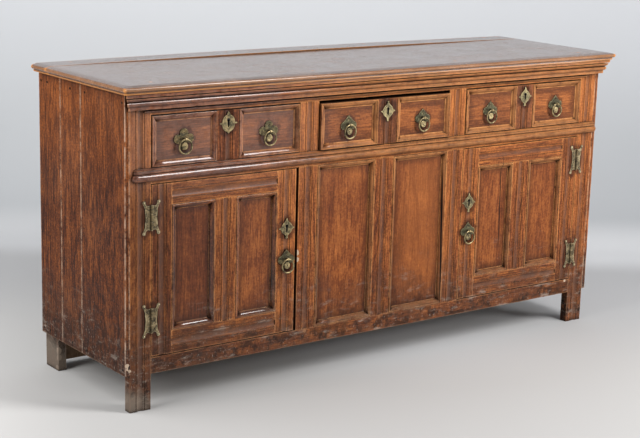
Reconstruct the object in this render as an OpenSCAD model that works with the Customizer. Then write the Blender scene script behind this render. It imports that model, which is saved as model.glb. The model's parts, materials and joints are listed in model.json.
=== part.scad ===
// Joined oak dresser base: three side-hung drawers over two panelled doors
// and a fixed centre of two panels, standing on its stiles.
// Lengths in millimetres. X runs along the front, -Y is the front, Z is up.
// The origin is on the floor, in the middle of the whole footprint.

/* [Case] */
// Width between the outer faces of the front stiles
case_w = 1686; // [1560:1:1860]
// Depth from the face of the front stiles to the back of the rear stiles
case_d = 488; // [440:1:560]
// Height of the feet, from the floor to the underside of the bottom rail
foot_h = 100; // [70:1:150]
// Height of the bottom rail
bottom_rail_h = 45; // [38:1:70]
// Height of the two door openings
door_open_h = 471; // [400:1:560]
// Height of the rail between the doors and the drawers, hidden by the waist moulding
waist_rail_h = 42; // [38:1:60]
// Height of the three drawer openings
drawer_open_h = 139; // [132:1:180]
// Height of the rail over the drawers
top_rail_h = 61; // [56:1:80]
// Thickness of the front frame
frame_t = 26; // [24:0.5:32]
// Width of the front stiles
stile_w = 63; // [56:1:80]
// Width of the muntins beside the middle bay
muntin_w = 64; // [54:1:80]
// Width of the muntin between the two fixed panels
centre_muntin_w = 68; // [54:1:90]
// Width of the left bay
left_bay_w = 472; // [430:1:500]
// Width of the right bay
right_bay_w = 482; // [430:1:500]
// Width of the rear stiles, measured front to back
rear_stile_w = 75; // [60:1:95]
// Thickness of the rear stiles and the side rails
rear_stile_t = 25; // [22:0.5:30]

/* [Joints of the frame] */
// Length of the rail tenons
tenon_len = 42; // [30:1:46]
// Thickness of the tenons
tenon_t = 9; // [7:0.5:10]
// Depth of the tenons behind the face
tenon_in = 8.5; // [7:0.5:9]
// Shoulder above and below a tenon
tenon_shoulder = 7; // [5:0.5:9]
// Length of the stub tenons on the muntins and runners
stub_len = 14; // [8:0.5:15]
// Clearance round a tenon in its mortise
tenon_gap = 0.15; // [0.1:0.05:0.4]
// Radius of the oak pegs
peg_r = 4; // [3:0.25:5]
// Distance of a peg from its shoulder line
peg_in = 20; // [14:1:26]
// Clearance round a peg or a nail in its hole
peg_gap = 0.05; // [0.05:0.05:0.2]
// Hairline at the shoulders, mitres and butts of pieces that are joined to each other
hairline = 0.1; // [0.05:0.05:0.3]

/* [Run mouldings] */
// Width of the hollow run down stiles, muntins and strips
channel_w = 18; // [12:0.5:24]
// Depth of that hollow
channel_deep = 3; // [1.5:0.25:4]
// Width of the bead on each side of the hollow
channel_bead = 4; // [3:0.25:6]
// Radius of the quirk outside each bead
quirk_r = 1.2; // [0.5:0.1:1.4]

/* [Top] */
// Thickness of the top boards
top_t = 22; // [18:0.5:30]
// Overhang of the top in front of the stiles
top_front_over = 44; // [34:1:60]
// Overhang of the top past the outer faces of the stiles
top_side_over = 39.5; // [30:0.5:55]
// Width of the rear top board
rear_board_w = 84; // [60:1:120]
// Open joint between the two top boards
top_joint = 0.8; // [0.3:0.1:2]
// Distance of the top's rear edge in front of the back of the rear stiles
top_back_in = 10; // [4:1:20]
// Radius of the rounded nosing
nosing_r = 6.2; // [4:0.2:8]
// Setback of the step under the nosing
nosing_step = 7; // [4:0.5:10]
// Width of the slope worked on top of the nosing
nosing_slope = 12; // [8:0.5:18]
// Rise of that slope
nosing_rise = 3; // [2:0.25:4]

/* [Applied mouldings] */
// Height of the cornice under the top
cornice_h = 44; // [40:0.5:50]
// Projection of the cornice at its top
cornice_out = 33; // [30:0.5:36]
// Projection of the cornice at its foot
cornice_foot_out = 19; // [15:0.5:21]
// Height of the fillet at the top of the cornice
cornice_fillet_h = 9.5; // [6:0.5:11]
// Radius of the ovolo of the cornice
ovolo_r = 9; // [7:0.5:10]
// Radius of the torus under the ovolo
cornice_torus_r = 6.5; // [4:0.25:7.5]
// Height of the waist moulding
waist_h = 33.5; // [32:0.5:40]
// Distance of the waist moulding's top below the drawer openings
waist_down = 0.5; // [0.5:0.25:4]
// Radius of the torus of the waist moulding
torus_r = 10.5; // [8:0.25:11]
// Projection of the waist moulding at its torus
waist_out = 14; // [12:0.5:17]
// Distances from the outer faces of the left and right stiles to where the waist moulding's ends round off
waist_end_in = [19, 3]; // [0:0.5:30]
// Height of the lip over the drawers
lip_h = 7; // [5:0.5:9]
// Projection of the lip over the drawers
lip_out = 5; // [3:0.5:7]
// Distance of the lip's lower edge above the drawer openings
lip_up = 6; // [4:0.5:10]
// Distance of the lip's ends inside the outer faces of the stiles
lip_end_in = 42; // [30:1:55]
// Width of the mitred mouldings on the drawer fronts
drawer_mould_w = 17; // [12:0.5:20]
// Height of those mouldings over the sunk fields
drawer_mould_h = 8.5; // [6:0.25:10]
// Width of the mitred mouldings round the panels
panel_mould_w = 16; // [12:0.5:20]
// Height of the panel mouldings in front of the frame
panel_mould_proud = 1.5; // [0:0.25:3]
// Width of the quirk outside the mitred mouldings
mould_quirk = 1.2; // [0.6:0.1:2]
// Depth of that quirk
mould_quirk_deep = 3.4; // [2:0.1:4]

/* [Panels and boards] */
// Depth of the panels' faces behind the face of the frame
panel_in = 9; // [8:0.25:10]
// Thickness of the panels
panel_t = 9; // [7:0.5:10]
// Depth of the grooves that hold the panels
groove_deep = 8; // [6:0.5:9]
// Clearance of a panel in its grooves
panel_gap = 0.15; // [0.1:0.05:0.3]
// Thickness of the side boards
side_t = 14; // [12:0.5:18]
// Height of the side boards' lower edge
side_board_z = 104; // [90:1:115]
// Distance of the side boards' rear edge from the back of the rear stiles
side_back_in = 4; // [2:0.5:10]
// Width of the front board of each side
side_front_w = 239; // [220:1:260]
// Width of the middle board of each side
side_mid_w = 116; // [100:1:140]
// Open joint between neighbouring boards
board_gap = 0.8; // [0.3:0.1:1.5]
// Thickness of the back boards
back_t = 12; // [10:0.5:16]
// Number of back boards
back_count = 8; // [6:1:10]
// Height of the back boards' lower edge
back_board_z = 12; // [8:1:40]
// Thickness of the floor boards
floor_t = 14; // [12:0.5:18]
// Number of floor boards
floor_count = 7; // [5:1:9]
// Distance of the floor boards' face below the top of the bottom rail
floor_down = 5; // [2:0.5:10]

/* [Drawers] */
// Thickness of the drawer fronts
drawer_front_t = 20; // [19:0.5:26]
// Thickness of the drawer sides and backs
drawer_side_t = 13; // [11:0.5:16]
// Thickness of the drawer bottoms
drawer_bottom_t = 9; // [7:0.5:11]
// Space between the drawers' backs and the rail behind them
drawer_back_gap = 35; // [10:1:70]
// Depth of the sunk fields behind the face of the frame, drawer shut
drawer_set_in = 6; // [5:0.25:8]
// Gap at each end of a drawer front
drawer_end_gap = 2; // [1:0.25:3]
// Gap under a drawer front
drawer_foot_gap = 1; // [1:0.25:4]
// Gap over the left and right drawer fronts
drawer_head_gap = 3; // [2:0.25:5]
// Gap over the middle drawer front, which has shrunk and sits low
middle_head_gap = 8; // [6:0.25:10]
// Distance that the middle drawer stands ajar
ajar = 6; // [0:0.5:15]
// Drop of the drawer sides below the top of the front
drawer_side_drop = 16; // [10:1:25]
// Rebate of the drawer front that takes the sides
drawer_rebate = 12; // [8:0.5:14]
// Width of the strip between the two fields of a drawer front
strip_w = 69; // [62:1:80]
// Thickness of that strip
strip_t = 7; // [5:0.5:8]
// Height of the runners
runner_h = 12; // [10:0.5:16]
// Height of the runners' middle over the drawer openings' lower edge
runner_up = 57; // [50:1:65]
// Depth of the grooves in the drawer sides
runner_groove = 6; // [4:0.5:7]
// Clearance round a runner in its groove
runner_gap = 0.6; // [0.4:0.1:1]

/* [Doors] */
// Thickness of the doors
door_t = 25.7; // [23:0.1:26]
// Width of the door stiles
door_stile_w = 62; // [56:1:75]
// Width of the muntin in the middle of a door
door_muntin_w = 68; // [54:1:90]
// Height of the top rail of a door
door_top_rail_h = 58; // [48:1:75]
// Height of the bottom rail of a door
door_bottom_rail_h = 64; // [50:1:85]
// Gap between a door and its hinge stile
hinge_gap = 2; // [1.5:0.25:3]
// Gap at the lock side of the left door, which has shrunk
left_lock_gap = 9; // [2:0.5:9]
// Gap at the lock side of the right door
right_lock_gap = 2; // [1.5:0.5:9]
// Gap over and under a door
door_end_gap = 2.5; // [1.5:0.25:4]

/* [Hinges] */
// Height of a hinge leaf
leaf_h = 66; // [50:1:80]
// Width of a hinge leaf beyond the pin
leaf_w = 18.5; // [15:0.5:21]
// Thickness of a hinge leaf
leaf_t = 1.6; // [1.2:0.1:2]
// Radius of the knuckles
knuckle_r = 3.4; // [2.8:0.1:4]
// Radius of the hinge pins
pin_r = 1.5; // [1.2:0.1:1.8]
// Running clearance of a pin in its knuckle
pin_gap = 0.06; // [0.03:0.01:0.09]
// Reach of the horns beyond the leaf's upper and lower ends
horn_reach = 8; // [5:0.5:12]
// Radius of the domed nails at the ends of the horns
horn_ball_r = 2.7; // [2.2:0.1:3.4]
// Distance of the left door's lower and upper hinges from its lower and upper edges
left_hinge_in = [100, 87]; // [60:1:140]
// Distance of the right door's lower and upper hinges from its lower and upper edges
right_hinge_in = [84, 74]; // [60:1:140]

/* [Ring pulls and escutcheons] */
// Radius of a ring, to the middle of its wire
ring_r = 19.3; // [16:0.1:22]
// Radius of the ring's wire
wire_r = 2.3; // [1.6:0.05:2.6]
// Clearance of the wire in its lug
wire_gap = 0.35; // [0.3:0.05:0.5]
// Distance of the ring's plane from the surface
ring_out = 10.5; // [9.5:0.25:12]
// Height of the ring's pivot over the middle of the boss
pivot_up = 18.5; // [16:0.25:21]
// Thickness of the plates
plate_t = 2.2; // [1.8:0.1:2.6]
// Radius of the round boss
boss_r = 10.2; // [8:0.1:12]
// Height of the boss
boss_h = 7.5; // [5:0.25:8]
// Width of the lug that holds the ring
lug_w = 4.4; // [3:0.2:5]
// Radius of the shank that holds a pull
shank_r = 2.5; // [2:0.25:3.5]
// Distance of the pulls below the middle of a drawer's field
pull_down = 19.5; // [12:0.5:22]
// Thickness of an escutcheon
escutcheon_t = 1.5; // [1:0.1:2]
// Radius of the round part of an escutcheon
escutcheon_r = 19; // [16:0.5:22]
// Distance of a drawer's keyhole below the top of its front
key_down = 36; // [32:1:42]
// Distance of a door's keyhole and pull from its lock edge
fitting_in = 29; // [27:1:31]
// Height of a door's keyhole over its lower edge
door_key_up = 300; // [280:1:330]
// Height of a door's pull over its lower edge
door_pull_up = 194; // [160:1:215]

/* [Locks] */
// Width of a lock case across the bolt
lock_w = 58; // [50:1:60]
// Depth of a lock case
lock_deep = 9.6; // [8:0.2:10]
// Wall of a lock case
lock_wall = 1.5; // [1:0.1:1.8]
// Distance of a lock case's end inside the edge that its bolt leaves
lock_in = 4; // [3:0.5:6]
// Width of a lock bolt
bolt_w = 22; // [16:1:26]
// Thickness of a lock bolt
bolt_t = 4.6; // [3.6:0.2:5]
// Clearance round a bolt
bolt_gap = 0.3; // [0.3:0.05:0.5]
// Throw of a drawer's bolt
drawer_throw = 12; // [11:0.5:14]
// Throw of a door's bolt
door_throw = 14; // [12:0.5:14]

/* [Pegs and nails] */
// Radius of the nail heads
nail_head_r = 3; // [2:0.25:4]
// Height of the nail heads
nail_head_h = 1; // [0.6:0.1:1.6]
// Radius of the nail shanks
nail_shank_r = 1.4; // [1:0.1:2]
// Radius of the domed brass nails in the hinges
dome_r = 2.1; // [1.5:0.1:2.4]

/* [Hidden] */
$fn = 48;

// Levels
door_z = foot_h + bottom_rail_h;
waist_z = door_z + door_open_h;
drawer_z = waist_z + waist_rail_h;
top_rail_z = drawer_z + drawer_open_h;
carcase_h = top_rail_z + top_rail_h;
floor_z = door_z - floor_down - floor_t;

// The front faces of the stiles stand here, so that the origin is in the middle of the footprint
face_y = (top_front_over - case_d) / 2;

// Bays from left to right: where each starts and how wide it is
mid_bay_w = case_w - 2 * stile_w - 2 * muntin_w - left_bay_w - right_bay_w;
bay_w = [left_bay_w, mid_bay_w, right_bay_w];
bay_x = [stile_w, stile_w + left_bay_w + muntin_w, case_w - stile_w - right_bay_w];
muntin_x = [bay_x[1] - muntin_w, bay_x[2] - muntin_w];
centre_muntin_x = bay_x[1] + (mid_bay_w - centre_muntin_w) / 2;
centre_panel_w = (mid_bay_w - centre_muntin_w) / 2;

// Back of the case
inner_back_y = case_d - top_back_in - back_t;
back_rail_y = inner_back_y - rear_stile_t;
rear_stile_y = case_d - rear_stile_w;

// Drawers, with 0, 1, 2 for left, middle and right
head_gap = [drawer_head_gap, middle_head_gap, drawer_head_gap];
rest_y = [0, -ajar, 0];
front_bottom_z = drawer_z + drawer_foot_gap;
front_top_z = [for (gap = head_gap) top_rail_z - gap];
runner_z = drawer_z + runner_up;
runner_edge = drawer_end_gap + runner_groove - runner_gap;
drawer_len = back_rail_y - drawer_set_in - drawer_back_gap;

// Doors, with 0 for left and 1 for right
door_bay = [0, 2];
lock_gap = [left_lock_gap, right_lock_gap];
door_bottom_z = door_z + door_end_gap;
door_h = door_open_h - 2 * door_end_gap;
hinge_up = [for (place = [left_hinge_in, right_hinge_in]) [place[0], door_h - place[1]]];
pin_y = -knuckle_r;

// Run channel: radius of the hollow from its width and depth
channel_r = (channel_w * channel_w / 4 + channel_deep * channel_deep) / (2 * channel_deep);

function door_w(i) = bay_w[door_bay[i]] - hinge_gap - lock_gap[i];
function front_w(i) = bay_w[i] - 2 * drawer_end_gap;
function front_h(i) = front_top_z[i] - front_bottom_z;
function field_mid_x(i, side) = front_w(i) / 2 + side * (front_w(i) + strip_w) / 4;

// Places on the frame
module at_case() translate([-case_w / 2, face_y, 0]) children();

module block(x, y, z, dx, dy, dz) translate([x, y, z]) cube([dx, dy, dz]);

module both_ends() {
    children();
    translate([case_w, 0, 0]) mirror([1, 0, 0]) children();
}

// The field plane of a shut drawer, at the lower left corner of its front
module at_drawer(i)
    translate([bay_x[i] + drawer_end_gap, drawer_set_in + rest_y[i], front_bottom_z]) children();

// A door's lower hinge-side corner on the face plane; +X runs to the lock edge on either hand
module at_door(i)
    if (i == 0) translate([bay_x[0] + hinge_gap, 0, door_bottom_z]) children();
    else translate([bay_x[2] + bay_w[2] - hinge_gap, 0, door_bottom_z]) mirror([1, 0, 0]) children();

// A hollow between two quirked beads, cut up a face at y = 0 and centred on x = 0
module run_channel(length) {
    translate([0, channel_deep - channel_r, 0]) cylinder(h = length, r = channel_r, $fn = 96);
    for (side = [-1, 1])
        translate([side * (channel_w / 2 + channel_bead), 0, 0])
            cylinder(h = length, r = quirk_r, $fn = 16);
}

module channel_up(x, z, length) translate([x, 0, z - 1]) run_channel(length + 2);

module channel_along(x, z, length) translate([x - 1, 0, z]) rotate([0, 90, 0]) run_channel(length + 2);

// A rail between two shoulders, with a tenon at each end; the mortises are the same block enlarged
module rail_tenons(x, length, z, h, grow = 0)
    block(x - tenon_len - grow, tenon_in - grow, z + tenon_shoulder - grow,
          length + 2 * tenon_len + 2 * grow, tenon_t + 2 * grow, h - 2 * tenon_shoulder + 2 * grow);

module rail(x, length, z, h) {
    block(x, 0, z, length, frame_t, h);
    rail_tenons(x, length, z, h);
}

// Stub tenons above and below a muntin, narrower than it by the panels' grooves
stub_cheek = groove_deep + 2;

module muntin_tenons(x, w, z, h, grow = 0)
    block(x + stub_cheek - grow, tenon_in - grow, z - stub_len - grow,
          w - 2 * stub_cheek + 2 * grow, tenon_t + 2 * grow, h + 2 * stub_len + 2 * grow);

module muntin(x, w, z, h) difference() {
    union() {
        block(x, 0, z, w, frame_t, h);
        muntin_tenons(x, w, z, h);
    }
    channel_up(x + w / 2, z, h);
}

// Peg places, as pairs of X and Z
case_rails = [
    [foot_h, bottom_rail_h], [waist_z, waist_rail_h], [top_rail_z, top_rail_h]
];
stile_pegs = [for (r = case_rails) [stile_w - peg_in, r[0] + r[1] / 2]];
lower_muntin_mid = [
    muntin_x[0] + muntin_w / 2, centre_muntin_x + centre_muntin_w / 2, muntin_x[1] + muntin_w / 2
];
upper_muntin_mid = [lower_muntin_mid[0], lower_muntin_mid[2]];
muntin_pegs = concat(
    [for (x = lower_muntin_mid) [x, door_z - stub_len / 2]],
    [for (x = lower_muntin_mid) [x - peg_in / 2, waist_z + stub_len / 2]],
    [for (x = upper_muntin_mid) [x + peg_in / 2, drawer_z - stub_len / 2]],
    [for (x = upper_muntin_mid) [x, top_rail_z + stub_len / 2]]
);

module pegs(places, r = peg_r, deep = frame_t - 2)
    for (p = places) translate([p[0], 0, p[1]]) rotate([-90, 0, 0]) cylinder(h = deep, r = r);

module peg_holes(places) translate([0, -1, 0]) pegs(places, peg_r + peg_gap, frame_t - 1 + peg_gap);

// Side rails run between the front and rear stiles, hidden behind the side boards: foot and head
side_rail_h = [26, 52];
side_rail_z = [floor_z + floor_t - side_rail_h[0], carcase_h - side_rail_h[1]];
rear_tenon_in = (rear_stile_t - tenon_t) / 2;

module side_tenons(n, grow = 0)
    block(rear_tenon_in - grow, frame_t - stub_len - grow, side_rail_z[n] + tenon_shoulder - grow,
          tenon_t + 2 * grow, rear_stile_y - frame_t + 2 * stub_len + 2 * grow,
          side_rail_h[n] - 2 * tenon_shoulder + 2 * grow);

// Back rails run between the rear stiles: under the floor, behind the runners and under the top
back_rail_h = [42, 44, 60];
back_rail_z = [floor_z - back_rail_h[0], runner_z - back_rail_h[1] / 2, carcase_h - back_rail_h[2]];

module back_tenons(n, grow = 0)
    block(rear_stile_t - stub_len - grow, back_rail_y + rear_tenon_in - grow, back_rail_z[n] + tenon_shoulder - grow,
          case_w - 2 * rear_stile_t + 2 * stub_len + 2 * grow, tenon_t + 2 * grow,
          back_rail_h[n] - 2 * tenon_shoulder + 2 * grow);

// Runners: where each one's web starts and how wide it is, then the drawers on its two sides
runner_web = [
    [rear_stile_t, stile_w - rear_stile_t], [muntin_x[0], muntin_w],
    [muntin_x[1], muntin_w], [case_w - stile_w, stile_w - rear_stile_t]
];

runner_cheek = 6;
runner_shoulder = 2;

module runner_stub(n, grow = 0)
    block(runner_web[n][0] + runner_cheek - grow, frame_t - stub_len / 2 - grow,
          runner_z - runner_h / 2 + runner_shoulder - grow,
          runner_web[n][1] - 2 * runner_cheek + 2 * grow, back_rail_y - frame_t + stub_len + 2 * grow,
          runner_h - 2 * runner_shoulder + 2 * grow);

module front_stiles() color("saddlebrown") both_ends() difference() {
    block(0, 0, 0, stile_w, frame_t, carcase_h);
    channel_up(stile_w / 2, 0, carcase_h);
    for (r = case_rails) rail_tenons(stile_w, case_w / 2, r[0], r[1], tenon_gap);
    for (n = [0, 1]) side_tenons(n, tenon_gap);
    runner_stub(0, tenon_gap);
    peg_holes(stile_pegs);
}

module front_muntins() color("saddlebrown") {
    for (n = [0, 1]) difference() {
        muntin(muntin_x[n], muntin_w, door_z, door_open_h);
        panel_bed(n, panel_gap);
        peg_holes(muntin_pegs);
        if (n == 0) bolt_mortise_door(0);
        if (n == 1) bolt_mortise_door(1);
    }
    difference() {
        muntin(centre_muntin_x, centre_muntin_w, door_z, door_open_h);
        for (n = [0, 1]) panel_bed(n, panel_gap);
        peg_holes(muntin_pegs);
    }
    for (n = [0, 1]) difference() {
        muntin(muntin_x[n], muntin_w, drawer_z, drawer_open_h);
        runner_stub(n + 1, tenon_gap);
        peg_holes(muntin_pegs);
    }
}

module top_rail() color("sienna") difference() {
    rail(stile_w, case_w - 2 * stile_w, top_rail_z, top_rail_h);
    for (n = [0, 1]) muntin_tenons(muntin_x[n], muntin_w, drawer_z, drawer_open_h, tenon_gap);
    for (i = [0, 1, 2]) bolt_mortise_drawer(i);
    both_ends() peg_holes(stile_pegs);
    peg_holes(muntin_pegs);
}

module waist_rail() color("sienna") difference() {
    rail(stile_w, case_w - 2 * stile_w, waist_z, waist_rail_h);
    for (n = [0, 1]) {
        muntin_tenons(muntin_x[n], muntin_w, drawer_z, drawer_open_h, tenon_gap);
        muntin_tenons(muntin_x[n], muntin_w, door_z, door_open_h, tenon_gap);
        panel_bed(n, panel_gap);
    }
    muntin_tenons(centre_muntin_x, centre_muntin_w, door_z, door_open_h, tenon_gap);
    both_ends() peg_holes(stile_pegs);
    peg_holes(muntin_pegs);
}

module bottom_rail() color("sienna") difference() {
    rail(stile_w, case_w - 2 * stile_w, foot_h, bottom_rail_h);
    for (n = [0, 1]) {
        muntin_tenons(muntin_x[n], muntin_w, door_z, door_open_h, tenon_gap);
        panel_bed(n, panel_gap);
    }
    muntin_tenons(centre_muntin_x, centre_muntin_w, door_z, door_open_h, tenon_gap);
    both_ends() peg_holes(stile_pegs);
    peg_holes(muntin_pegs);
}

// A fixed panel of the middle bay; with a clearance it is the groove that the panel sits in
function centre_panel_x(n) = bay_x[1] + n * (centre_panel_w + centre_muntin_w);

module panel_bed(n, gap)
    block(centre_panel_x(n) - groove_deep, panel_in - gap, door_z - groove_deep,
          centre_panel_w + 2 * groove_deep, panel_t + 2 * gap, door_open_h + 2 * groove_deep);

module centre_panels() color("peru") for (n = [0, 1])
    block(centre_panel_x(n) - groove_deep + 1, panel_in, door_z - groove_deep + 1,
          centre_panel_w + 2 * groove_deep - 2, panel_t, door_open_h + 2 * groove_deep - 2);

// Profile of a mitred moulding: x runs inwards from its outer edge, y stands up from its seat
mould_fillet = 4;
mould_step = 1.3;
mould_foot = 2;

module mould_profile(w, h) {
    fall_w = w - mould_fillet - mould_foot;
    fall_h = h - mould_step;
    fall_r = (fall_w * fall_w + fall_h * fall_h) / (2 * fall_h);
    translate([mould_quirk, 0]) square([mould_fillet - mould_quirk, h]);
    square([mould_fillet, h - mould_quirk_deep]);
    square([w, 1]);
    intersection() {
        square([w - mould_foot, fall_h]);
        translate([mould_fillet, fall_h - fall_r]) circle(r = fall_r, $fn = 96);
    }
}

// One length of moulding with a mitre at each end; it runs along +X with its field towards +Z
module mitred_length(length, w, h) intersection() {
    rotate([90, 0, 90]) linear_extrude(length) rotate(90) mould_profile(w, h);
    rotate([90, 0, 0]) linear_extrude(h + 1) polygon([
        [hairline, 0], [length - hairline, 0], [length - w - hairline, w], [w + hairline, w]
    ]);
}

// Four mitred lengths round a field; the origin is the lower left corner on the seat
module mitred_frame(frame_w, frame_h, w, h) {
    mitred_length(frame_w, w, h);
    translate([frame_w, 0, frame_h]) rotate([0, 180, 0]) mitred_length(frame_w, w, h);
    translate([frame_w, 0, 0]) rotate([0, -90, 0]) mitred_length(frame_h, w, h);
    translate([0, 0, frame_h]) rotate([0, 90, 0]) mitred_length(frame_h, w, h);
}

module centre_panel_mouldings() color("chocolate") for (n = [0, 1])
    translate([centre_panel_x(n), panel_in, door_z])
        mitred_frame(centre_panel_w, door_open_h, panel_mould_w, panel_in + panel_mould_proud);

// Cornice profile: x is the projection, y the height over its foot
cornice_quirk = 2.5;
ovolo_in = 3.5;

module cornice_profile() {
    ovolo_x = cornice_out - ovolo_in - ovolo_r;
    ovolo_y = cornice_h - cornice_fillet_h - cornice_quirk;
    torus_y = ovolo_y - ovolo_r - cornice_torus_r;
    square([cornice_foot_out, torus_y]);
    translate([0, torus_y]) square([ovolo_x, cornice_h - torus_y]);
    translate([cornice_foot_out, torus_y]) circle(r = cornice_torus_r, $fn = 64);
    translate([0, cornice_h - cornice_fillet_h]) square([cornice_out, cornice_fillet_h]);
    intersection() {
        square([cornice_out, ovolo_y]);
        translate([ovolo_x, ovolo_y]) circle(r = ovolo_r, $fn = 96);
    }
}

// A moulding along the front, its ends mitred back from a line at start_x on the face
module front_run(start_x, out, h) intersection() {
    translate([start_x - 2 * out, 0, 0]) rotate([90, 0, 90])
        linear_extrude(case_w - 2 * start_x + 4 * out) mirror([1, 0]) children();
    linear_extrude(h + 1) polygon([
        [start_x, 0], [case_w - start_x, 0],
        [case_w - start_x + 2 * out, -2 * out], [start_x - 2 * out, -2 * out]
    ]);
}

module cornice_moulding() color("chocolate") translate([0, 0, carcase_h - cornice_h])
    front_run(cornice_foot_out - side_t, cornice_out, cornice_h) cornice_profile();

module lip_moulding() color("chocolate")
    translate([lip_end_in, 0, top_rail_z + lip_up]) rotate([90, 0, 90])
        linear_extrude(case_w - 2 * lip_end_in) mirror([1, 0]) intersection() {
            square([lip_out, lip_h]);
            union() {
                square([lip_out - lip_h / 3, lip_h]);
                translate([lip_out - lip_h / 2, lip_h / 2]) circle(d = lip_h);
            }
        }

// Waist profile: from the top a slope, a groove, a flat band, a groove and the torus
waist_band_out = 9;
waist_slope_in = 6;
waist_slope_h = 4;
waist_groove_r = 1.2;

module waist_profile() difference() {
    union() {
        translate([waist_out - torus_r, torus_r]) circle(r = torus_r, $fn = 64);
        square([waist_out - torus_r, waist_h]);
        translate([0, 2 * torus_r]) square([waist_band_out, waist_h - 2 * torus_r - waist_slope_h]);
        polygon([
            [0, waist_h - waist_slope_h], [waist_band_out, waist_h - waist_slope_h],
            [waist_band_out - waist_slope_in, waist_h], [0, waist_h]
        ]);
    }
    for (y = [2 * torus_r, waist_h - waist_slope_h - waist_groove_r])
        translate([waist_band_out, y]) circle(r = waist_groove_r);
}

// Each end returns on itself in a quarter round
module waist_moulding() color("chocolate") translate([0, 0, drawer_z - waist_down - waist_h])
    intersection() {
        union() {
            translate([waist_end_in[0], 0, 0]) rotate([90, 0, 90])
                linear_extrude(case_w - waist_end_in[0] - waist_end_in[1]) mirror([1, 0]) waist_section();
            for (x = [waist_end_in[0], case_w - waist_end_in[1]]) translate([x, 0, 0])
                rotate_extrude($fn = 96) waist_section();
        }
        block(-waist_out, -waist_out - 1, 0, case_w + 2 * waist_out, waist_out + 1, waist_h);
    }

module waist_section() intersection() {
    square([waist_out, waist_h]);
    waist_profile();
}

// Section of a top board's worked edge: x runs outwards to the tip at zero, y is the height
module nosed_section(inside) {
    tip_y = top_t - nosing_rise - nosing_r;
    translate([-inside, 0]) square([inside - nosing_step, tip_y]);
    translate([-inside, tip_y - nosing_r]) square([inside - nosing_r, 2 * nosing_r]);
    translate([-nosing_r, tip_y]) circle(r = nosing_r);
    polygon([
        [-inside, 1], [-nosing_slope, 1], [-nosing_slope, top_t - nosing_rise],
        [-nosing_r, top_t - nosing_rise], [-nosing_slope - nosing_r, top_t], [-inside, top_t]
    ]);
}

top_left = -top_side_over;
top_len = case_w + 2 * top_side_over;
top_back = case_d - top_back_in;
top_joint_y = top_back - rear_board_w;

// A board with both ends worked, between two depths
module ended_board(y, depth) translate([0, y + depth, carcase_h]) rotate([90, 0, 0])
    linear_extrude(depth) {
        translate([top_left + top_len, 0]) nosed_section(top_len / 2);
        translate([top_left, 0]) mirror([1, 0]) nosed_section(top_len / 2);
    }

top_peg_in = 70;
top_peg_mid = 260;
peg_row_x = [top_peg_in, case_w / 2 - top_peg_mid, case_w / 2 + top_peg_mid, case_w - top_peg_in];
front_peg_y = 14;
rear_peg_y = back_rail_y + rear_stile_t / 2;

module top_pegs(r = peg_r, from = 0, to = top_t) for (x = peg_row_x, y = [front_peg_y, rear_peg_y])
    translate([x, y, carcase_h + from]) cylinder(h = to - from, r = r);

module top_front_board() color("rosybrown") difference() {
    intersection() {
        ended_board(-top_front_over, top_joint_y - top_joint + top_front_over);
        translate([top_left, 0, carcase_h]) rotate([90, 0, 90]) linear_extrude(top_len)
            translate([-top_front_over, 0]) mirror([1, 0]) nosed_section(top_joint_y + top_front_over);
    }
    top_pegs(peg_r + peg_gap, -1, top_t + 1);
}

module top_rear_board() color("rosybrown") difference() {
    ended_board(top_joint_y, rear_board_w);
    top_pegs(peg_r + peg_gap, -1, top_t + 1);
}

module rear_stiles() color("saddlebrown") both_ends() difference() {
    block(0, rear_stile_y, 0, rear_stile_t, rear_stile_w, carcase_h);
    for (n = [0, 1]) side_tenons(n, tenon_gap);
    for (n = [0, 1, 2]) back_tenons(n, tenon_gap);
}

module back_rails() color("sienna") difference() {
    for (n = [0, 1, 2]) {
        block(rear_stile_t, back_rail_y, back_rail_z[n], case_w - 2 * rear_stile_t, rear_stile_t,
              back_rail_h[n]);
        back_tenons(n);
    }
    for (n = [0 : 3]) runner_stub(n, tenon_gap);
}

// Side rails, the ledger under the front of the floor, and the stops behind the doors' heads
ledger_w = 14;
stop_t = 12;
stop_down = 10;
stop_in = 40;

module inner_rails() color("sienna") {
    both_ends() for (n = [0, 1]) {
        block(0, frame_t, side_rail_z[n], rear_stile_t, rear_stile_y - frame_t, side_rail_h[n]);
        side_tenons(n);
    }
    block(rear_stile_t + hairline, frame_t, floor_z - ledger_w,
          case_w - 2 * rear_stile_t - 2 * hairline, ledger_w, ledger_w);
    for (i = [0, 1])
        block(bay_x[door_bay[i]] + stop_in, frame_t, waist_z - stop_down,
              bay_w[door_bay[i]] - 2 * stop_in, stop_t, stop_down + waist_rail_h / 2);
}

// Three upright boards on each side, nailed over the stiles
side_depth = case_d - side_back_in;
side_splits = [
    [0, side_front_w], [side_front_w + board_gap, side_mid_w],
    [side_front_w + side_mid_w + 2 * board_gap,
     side_depth - side_front_w - side_mid_w - 2 * board_gap]
];
side_nail_in = 26;
side_nail_z = [side_board_z + 16, carcase_h - side_nail_in];
side_nail_y = [
    frame_t / 2, side_front_w - side_nail_in, side_front_w + side_mid_w / 2,
    rear_stile_y + rear_stile_w / 4, case_d - rear_stile_w / 4
];

module side_nails(head = true, r = nail_shank_r) for (z = side_nail_z, y = side_nail_y)
    translate([-side_t, y, z]) rotate([0, 90, 0]) {
        cylinder(h = side_t, r = r, $fn = 24);
        if (head) translate([0, 0, -nail_head_h]) cylinder(h = nail_head_h, r = nail_head_r, $fn = 24);
    }

module side_boards() difference() {
    for (s = side_splits) block(-side_t, s[0], side_board_z, side_t, s[1], carcase_h - side_board_z);
    translate([-1, 0, 0]) side_nails(false, nail_shank_r + peg_gap);
    translate([1, 0, 0]) side_nails(false, nail_shank_r + peg_gap);
}

module side_boards_left() color("brown") side_boards();

module side_boards_right() color("brown")
    translate([case_w, 0, 0]) mirror([1, 0, 0]) side_boards();

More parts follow.
